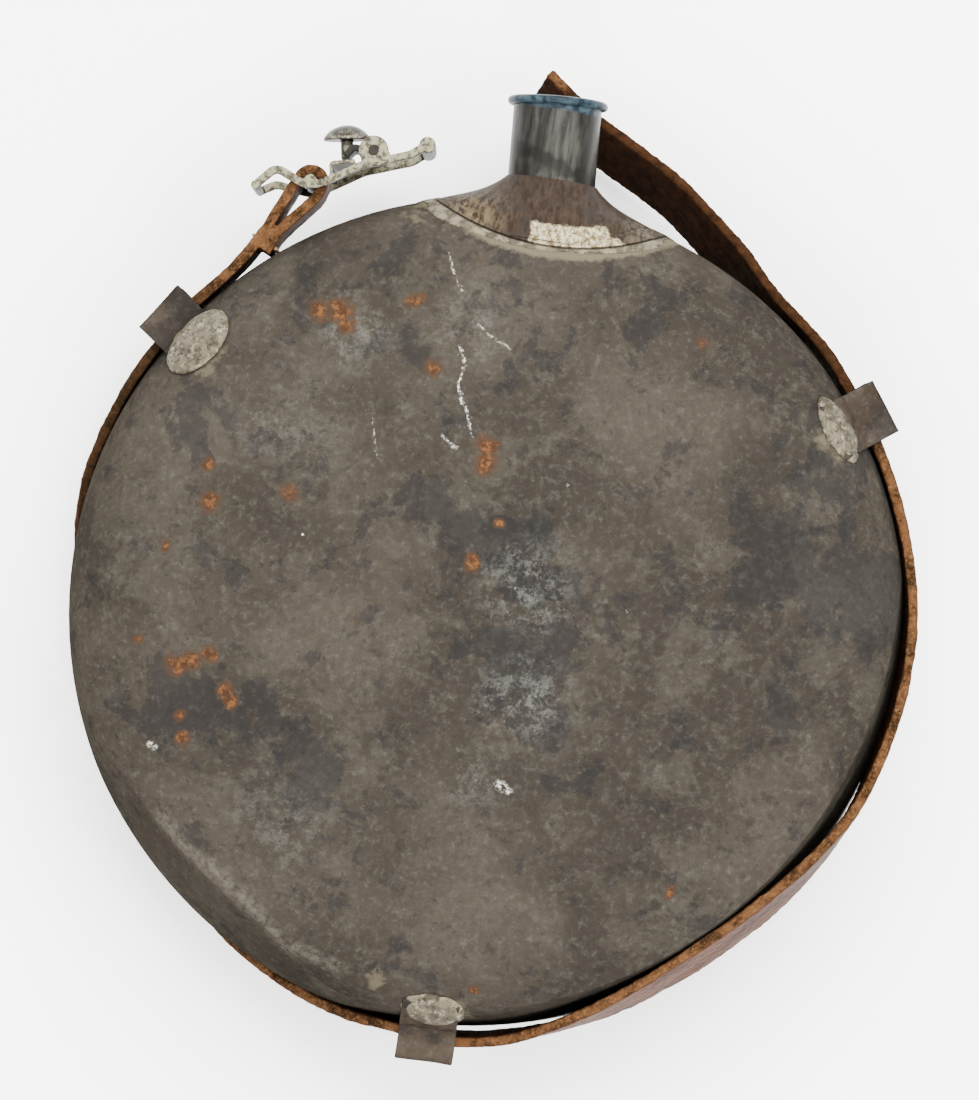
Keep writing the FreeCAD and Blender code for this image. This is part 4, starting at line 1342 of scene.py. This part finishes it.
@dataclass
class Strap(Assembly):
    """The leather strap: its long run round the rim and its stitched fold over the clasp's bar.

    Args:
        frame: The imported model.
        node: The strap's node.
        split_turn: Turn of the place where the fold is divided from the run, in degrees.
        divider: Length, width and height of the block that divides them, in millimetres.
        divider_out: How far out from the middle the block lies, in millimetres.
        fold_voxel: Size of the fold's faces, in millimetres.
        run_voxel: Size of the run's faces, in millimetres.
        edge_from: Upward share of a face's direction at which the cut edge starts.
        edge_over: Over how much more it comes in.
        flesh_turn: Outward share of a face's direction up to which it shows flesh.
        cut_end: How far along the fold its flesh side shows, in millimetres.
        free_from: Height up the picture where the free end starts, in millimetres.
        free_over: Over how much more it turns its flesh side up, in millimetres.
        free_upward: Upward share of a face's direction at which that flesh is whole.
        free_bare: How much of the cut edge the turned end loses.
        kept_slit: The turns between which the photograph shows a slit of light, in degrees.
        rim_start: Where the lines that measure the rim start, out from the middle, in millimetres.
        rim_above: How far they lie above the seam, in millimetres.
        turn_step: Steps in which the run is drawn in, in degrees.
        turn_reach: Half of what each step looks at, in degrees.
        rim_gap: What is left open between run and rim, in millimetres.
        most_pull: How far the run is drawn in at most, in millimetres.
        wide_gap: The gap from which it is left alone, in millimetres.
        evening: Shares of each step and its neighbours that even out the pull.
        swells: Size, depth and shift of each unevenness of the leather.
    """

    node: str = "strap"
    split_turn: float = -55.35
    divider: Place = (56.0, 70.0, 60.0)
    divider_out: float = 95.0
    fold_voxel: float = 0.3
    run_voxel: float = 0.62
    edge_from: float = 0.5
    edge_over: float = 0.25
    flesh_turn: float = 0.25
    cut_end: float = 28.0
    free_from: float = 52.0
    free_over: float = 14.0
    free_upward: float = 0.15
    free_bare: float = 0.9
    kept_slit: Spot = (-92.0, -74.0)
    rim_start: float = 140.0
    rim_above: float = 1.0
    turn_step: int = 2
    turn_reach: float = 1.5
    rim_gap: float = 0.1
    most_pull: float = 1.5
    wide_gap: float = 4.0
    evening: tuple[float, ...] = (0.1, 0.25, 0.3, 0.25, 0.1)
    swells: tuple[Place, ...] = ((9.0, 0.22, 3.1), (1.6, 0.16, 7.7))

    @property
    def along(self) -> Vector:
        """Where the strap runs at the split."""
        turn = math.radians(self.split_turn)
        return Vector((math.cos(turn), -math.sin(turn), 0.0))

    @property
    def out(self) -> Vector:
        """The way out from the middle at the split."""
        turn = math.radians(self.split_turn)
        return Vector((math.sin(turn), math.cos(turn), 0.0))

    def build(self) -> None:
        """Make both pieces of the strap and finish its stitches."""
        self.coat("fold_stitches", WaxedThread().material())
        leather = WornLeather().material()
        block = self.build_divider()
        fold = self.cut("strap_fold", block, True, self.fold_voxel)
        fold_edge, fold_flesh = self.sides(fold)
        places, _ = surface(fold.thing.data)
        fold_flesh[places @ np.array(self.along) > self.cut_end * MM] = 0.0
        self.store_sides(fold, fold_edge, fold_flesh)
        run = self.cut("strap_run", block, False, self.run_voxel)
        self.store_sides(run, *self.sides(run))
        self.draw_in(run)
        for piece in (fold, run):
            for size, depth, seed in self.swells:
                piece.roughen(size, depth, seed)
            piece.seat(leather)
        bpy.data.objects.remove(block)
        for piece in (fold, run):
            piece.replace_node()

    def build_divider(self) -> bpy.types.Object:
        """Make the block that divides the fold from the run, inside the left loop.

        Returns:
            The block.
        """
        bpy.ops.mesh.primitive_cube_add(size=1)
        block = bpy.context.object
        block.name = "strap_divider"
        block.scale = Vector(self.divider) * MM
        block.rotation_euler.z = math.atan2(self.along.y, self.along.x)
        block.location = (self.along * self.divider[0] / 2 + self.out * self.divider_out) * MM
        block.location.z = SEAM_HEIGHT
        return block

    def cut(self, name: str, block: bpy.types.Object, inside: bool, voxel: float) -> Piece:
        """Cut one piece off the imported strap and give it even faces.

        Args:
            name: The piece's name.
            block: The block that divides the strap.
            inside: Whether the part inside the block is kept, or the part outside it.
            voxel: Size of the faces, in millimetres.

        Returns:
            The piece.
        """
        piece = Piece(name, self.node, Body.CANTEEN, Slot.LEATHER)
        piece.copy_node(self.frame)
        piece.keep_part(block, inside)
        piece.remesh(voxel, passes=3)
        return piece

    def sides(self, piece: Piece) -> tuple[np.ndarray, np.ndarray]:
        """Work out where the strap shows its cut edge and where its rough flesh side.

        The edge faces up or down and the flesh faces the canteen, but the free end at the upper
        right has turned over and shows its flesh from above.

        Args:
            piece: The piece.

        Returns:
            The share of edge and the share of flesh, for each point.
        """
        places, normals = surface(piece.thing.data)
        edge = np.clip((np.abs(normals[:, 2]) - self.edge_from) / self.edge_over, 0.0, 1.0)
        level = places * (1.0, 1.0, 0.0)
        out = level / np.linalg.norm(level, axis=1)[:, None]
        outward = (normals * out).sum(axis=1)
        flesh = np.clip((self.flesh_turn - outward) / (2 * self.flesh_turn), 0.0, 1.0)
        free = np.clip((level[:, 1] - self.free_from * MM) / (self.free_over * MM), 0.0, 1.0)
        free = free * (level[:, 0] > 0)
        upward = np.clip(normals[:, 2] / self.free_upward, 0.0, 1.0)
        return edge * (1.0 - self.free_bare * free), np.maximum(flesh, upward * free)

    def store_sides(self, piece: Piece, edge: np.ndarray, flesh: np.ndarray) -> None:
        """Store the shares of edge and flesh where the leather reads them.

        Args:
            piece: The piece.
            edge: The share of edge, for each point.
            flesh: The share of flesh, for each point.
        """
        for name, shares in (("edge", edge), ("flesh", flesh)):
            layer = piece.thing.data.attributes.new(name, "FLOAT", "POINT")
            layer.data.foreach_set("value", shares)

    def rim_reach(self, turns: np.ndarray) -> np.ndarray:
        """Measure how far the front shell's rim reaches.

        Args:
            turns: The turns from +X that it is measured at, in degrees.

        Returns:
            The reach at each turn, in metres.
        """
        shell = self.frame["nodes"]["front_shell"].data
        tree = BVHTree.FromPolygons([vertex.co for vertex in shell.vertices],
                                    [face.vertices for face in shell.polygons])
        reaches = []
        for turn in np.radians(turns):
            away = Vector((math.cos(turn), math.sin(turn), 0.0))
            start = away * self.rim_start * MM
            start.z = SEAM_HEIGHT + self.rim_above * MM
            reaches.append(tree.ray_cast(start, -away)[0].to_2d().length)
        return np.array(reaches)

    def draw_in(self, piece: Piece) -> None:
        """Pull the run against the rim wherever it would leave a slit of light.

        Args:
            piece: The run.
        """
        mesh = piece.thing.data
        places, _ = surface(mesh)
        turns = np.degrees(np.arctan2(places[:, 1], places[:, 0]))
        reach = np.hypot(places[:, 0], places[:, 1])
        steps = np.arange(-180, 181, self.turn_step)
        pull = np.zeros(len(steps))
        for number, (step, rim) in enumerate(zip(steps, self.rim_reach(steps))):
            near = np.abs(turns - step) < self.turn_reach
            if not near.any() or self.kept_slit[0] < step < self.kept_slit[1]:
                continue
            gap = (reach[near].min() - rim) / MM
            held = np.clip((self.wide_gap - gap) / self.most_pull, 0.0, 1.0)
            pull[number] = np.clip(gap - self.rim_gap, 0.0, self.most_pull) * held
        pull = np.convolve(np.pad(pull, len(self.evening) // 2, "edge"), self.evening, "valid")
        shift = np.interp(turns, steps, pull) * MM / reach
        places[:, :2] *= 1.0 - shift[:, None]
        mesh.vertices.foreach_set("co", places.ravel())
        mesh.update()
        LOG.info("%s is drawn in by up to %.2f mm", piece.name, pull.max())


@dataclass(frozen=True)
class Lamp:
    """A large soft lamp that looks at the canteen.

    Args:
        name: The lamp's name.
        place: Where it hangs, in metres.
        size: Its width, in metres.
        watts: Its power.
    """

    name: str
    place: Place
    size: float
    watts: float

    def hang(self) -> None:
        """Hang the lamp and turn it to the canteen."""
        bpy.ops.object.light_add(type="AREA", location=self.place)
        lamp = bpy.context.object
        lamp.name = self.name
        lamp.data.shape = "DISK"
        lamp.data.size = self.size
        lamp.data.energy = self.watts
        lamp.rotation_euler = (-Vector(self.place)).to_track_quat("-Z", "Y").to_euler()


@dataclass
class Studio:
    """The pale table, the soft lights and the camera above the canteen.

    Args:
        camera_height: Height of the lens above the table, in metres.
        roll: Turn of the camera about its own line of sight, in degrees.
        middle: Where the camera looks, in millimetres.
        frame_height: How much of the canteen's seam plane the view takes in, top to bottom,
            in millimetres.
        table_size: Width of the table, in metres.
        sky: Colour of the sky, in linear light.
        sky_strength: How bright the sky is.
        lamps: The lamps.
    """

    camera_height: float = 1.2
    roll: float = 8.6
    middle: Spot = (-1.58, 15.19)
    frame_height: float = 260.2
    table_size: float = 3.0
    sky: tuple[float, float, float, float] = (1.0, 0.99, 0.97, 1.0)
    sky_strength: float = 1.6
    lamps: tuple[Lamp, ...] = (
        Lamp("top_lamp", (0.05, 0.85, 1.3), 1.2, 105.0),
        Lamp("left_lamp", (-0.95, 0.1, 1.2), 0.9, 16.0),
        Lamp("right_lamp", (0.9, -0.1, 1.2), 0.9, 28.0),
        Lamp("low_lamp", (0.1, -0.95, 1.2), 0.9, 40.0),
    )

    def build(self) -> None:
        """Set up the camera, the table and the lights."""
        self.build_camera()
        self.build_table()
        self.build_lights()

    def build_camera(self) -> None:
        """Hang the camera straight above the canteen."""
        camera = bpy.data.cameras.new("camera")
        camera.sensor_fit = "VERTICAL"
        camera.sensor_height = 36.0
        distance = self.camera_height / MM - SEAM_HEIGHT / MM
        camera.lens = camera.sensor_height * distance / self.frame_height
        camera.clip_start = 0.01
        thing = bpy.data.objects.new("camera", camera)
        thing.location = (self.middle[0] * MM, self.middle[1] * MM, self.camera_height)
        thing.rotation_euler = (0.0, 0.0, math.radians(self.roll))
        bpy.context.scene.collection.objects.link(thing)
        bpy.context.scene.camera = thing

    def build_table(self) -> None:
        """Lay the table under the canteen."""
        bpy.ops.mesh.primitive_plane_add(size=self.table_size)
        table = bpy.context.object
        table.name = "table"
        table.data.materials.append(WhiteTable().material())

    def build_lights(self) -> None:
        """Set a pale sky and hang the lamps."""
        world = bpy.data.worlds.new("studio")
        world.use_nodes = True
        sky = world.node_tree.nodes["Background"]
        sky.inputs["Color"].default_value = self.sky
        sky.inputs["Strength"].default_value = self.sky_strength
        bpy.context.scene.world = world
        for lamp in self.lamps:
            lamp.hang()


def main() -> None:
    """Load the frame, set up the studio and dress every piece."""
    logging.basicConfig(level=logging.INFO)
    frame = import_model()
    Studio().build()
    for kind in (Shells, Neck, Loops, Clasp, Strap):
        kind(frame).build()


if __name__ == "__main__":
    main()
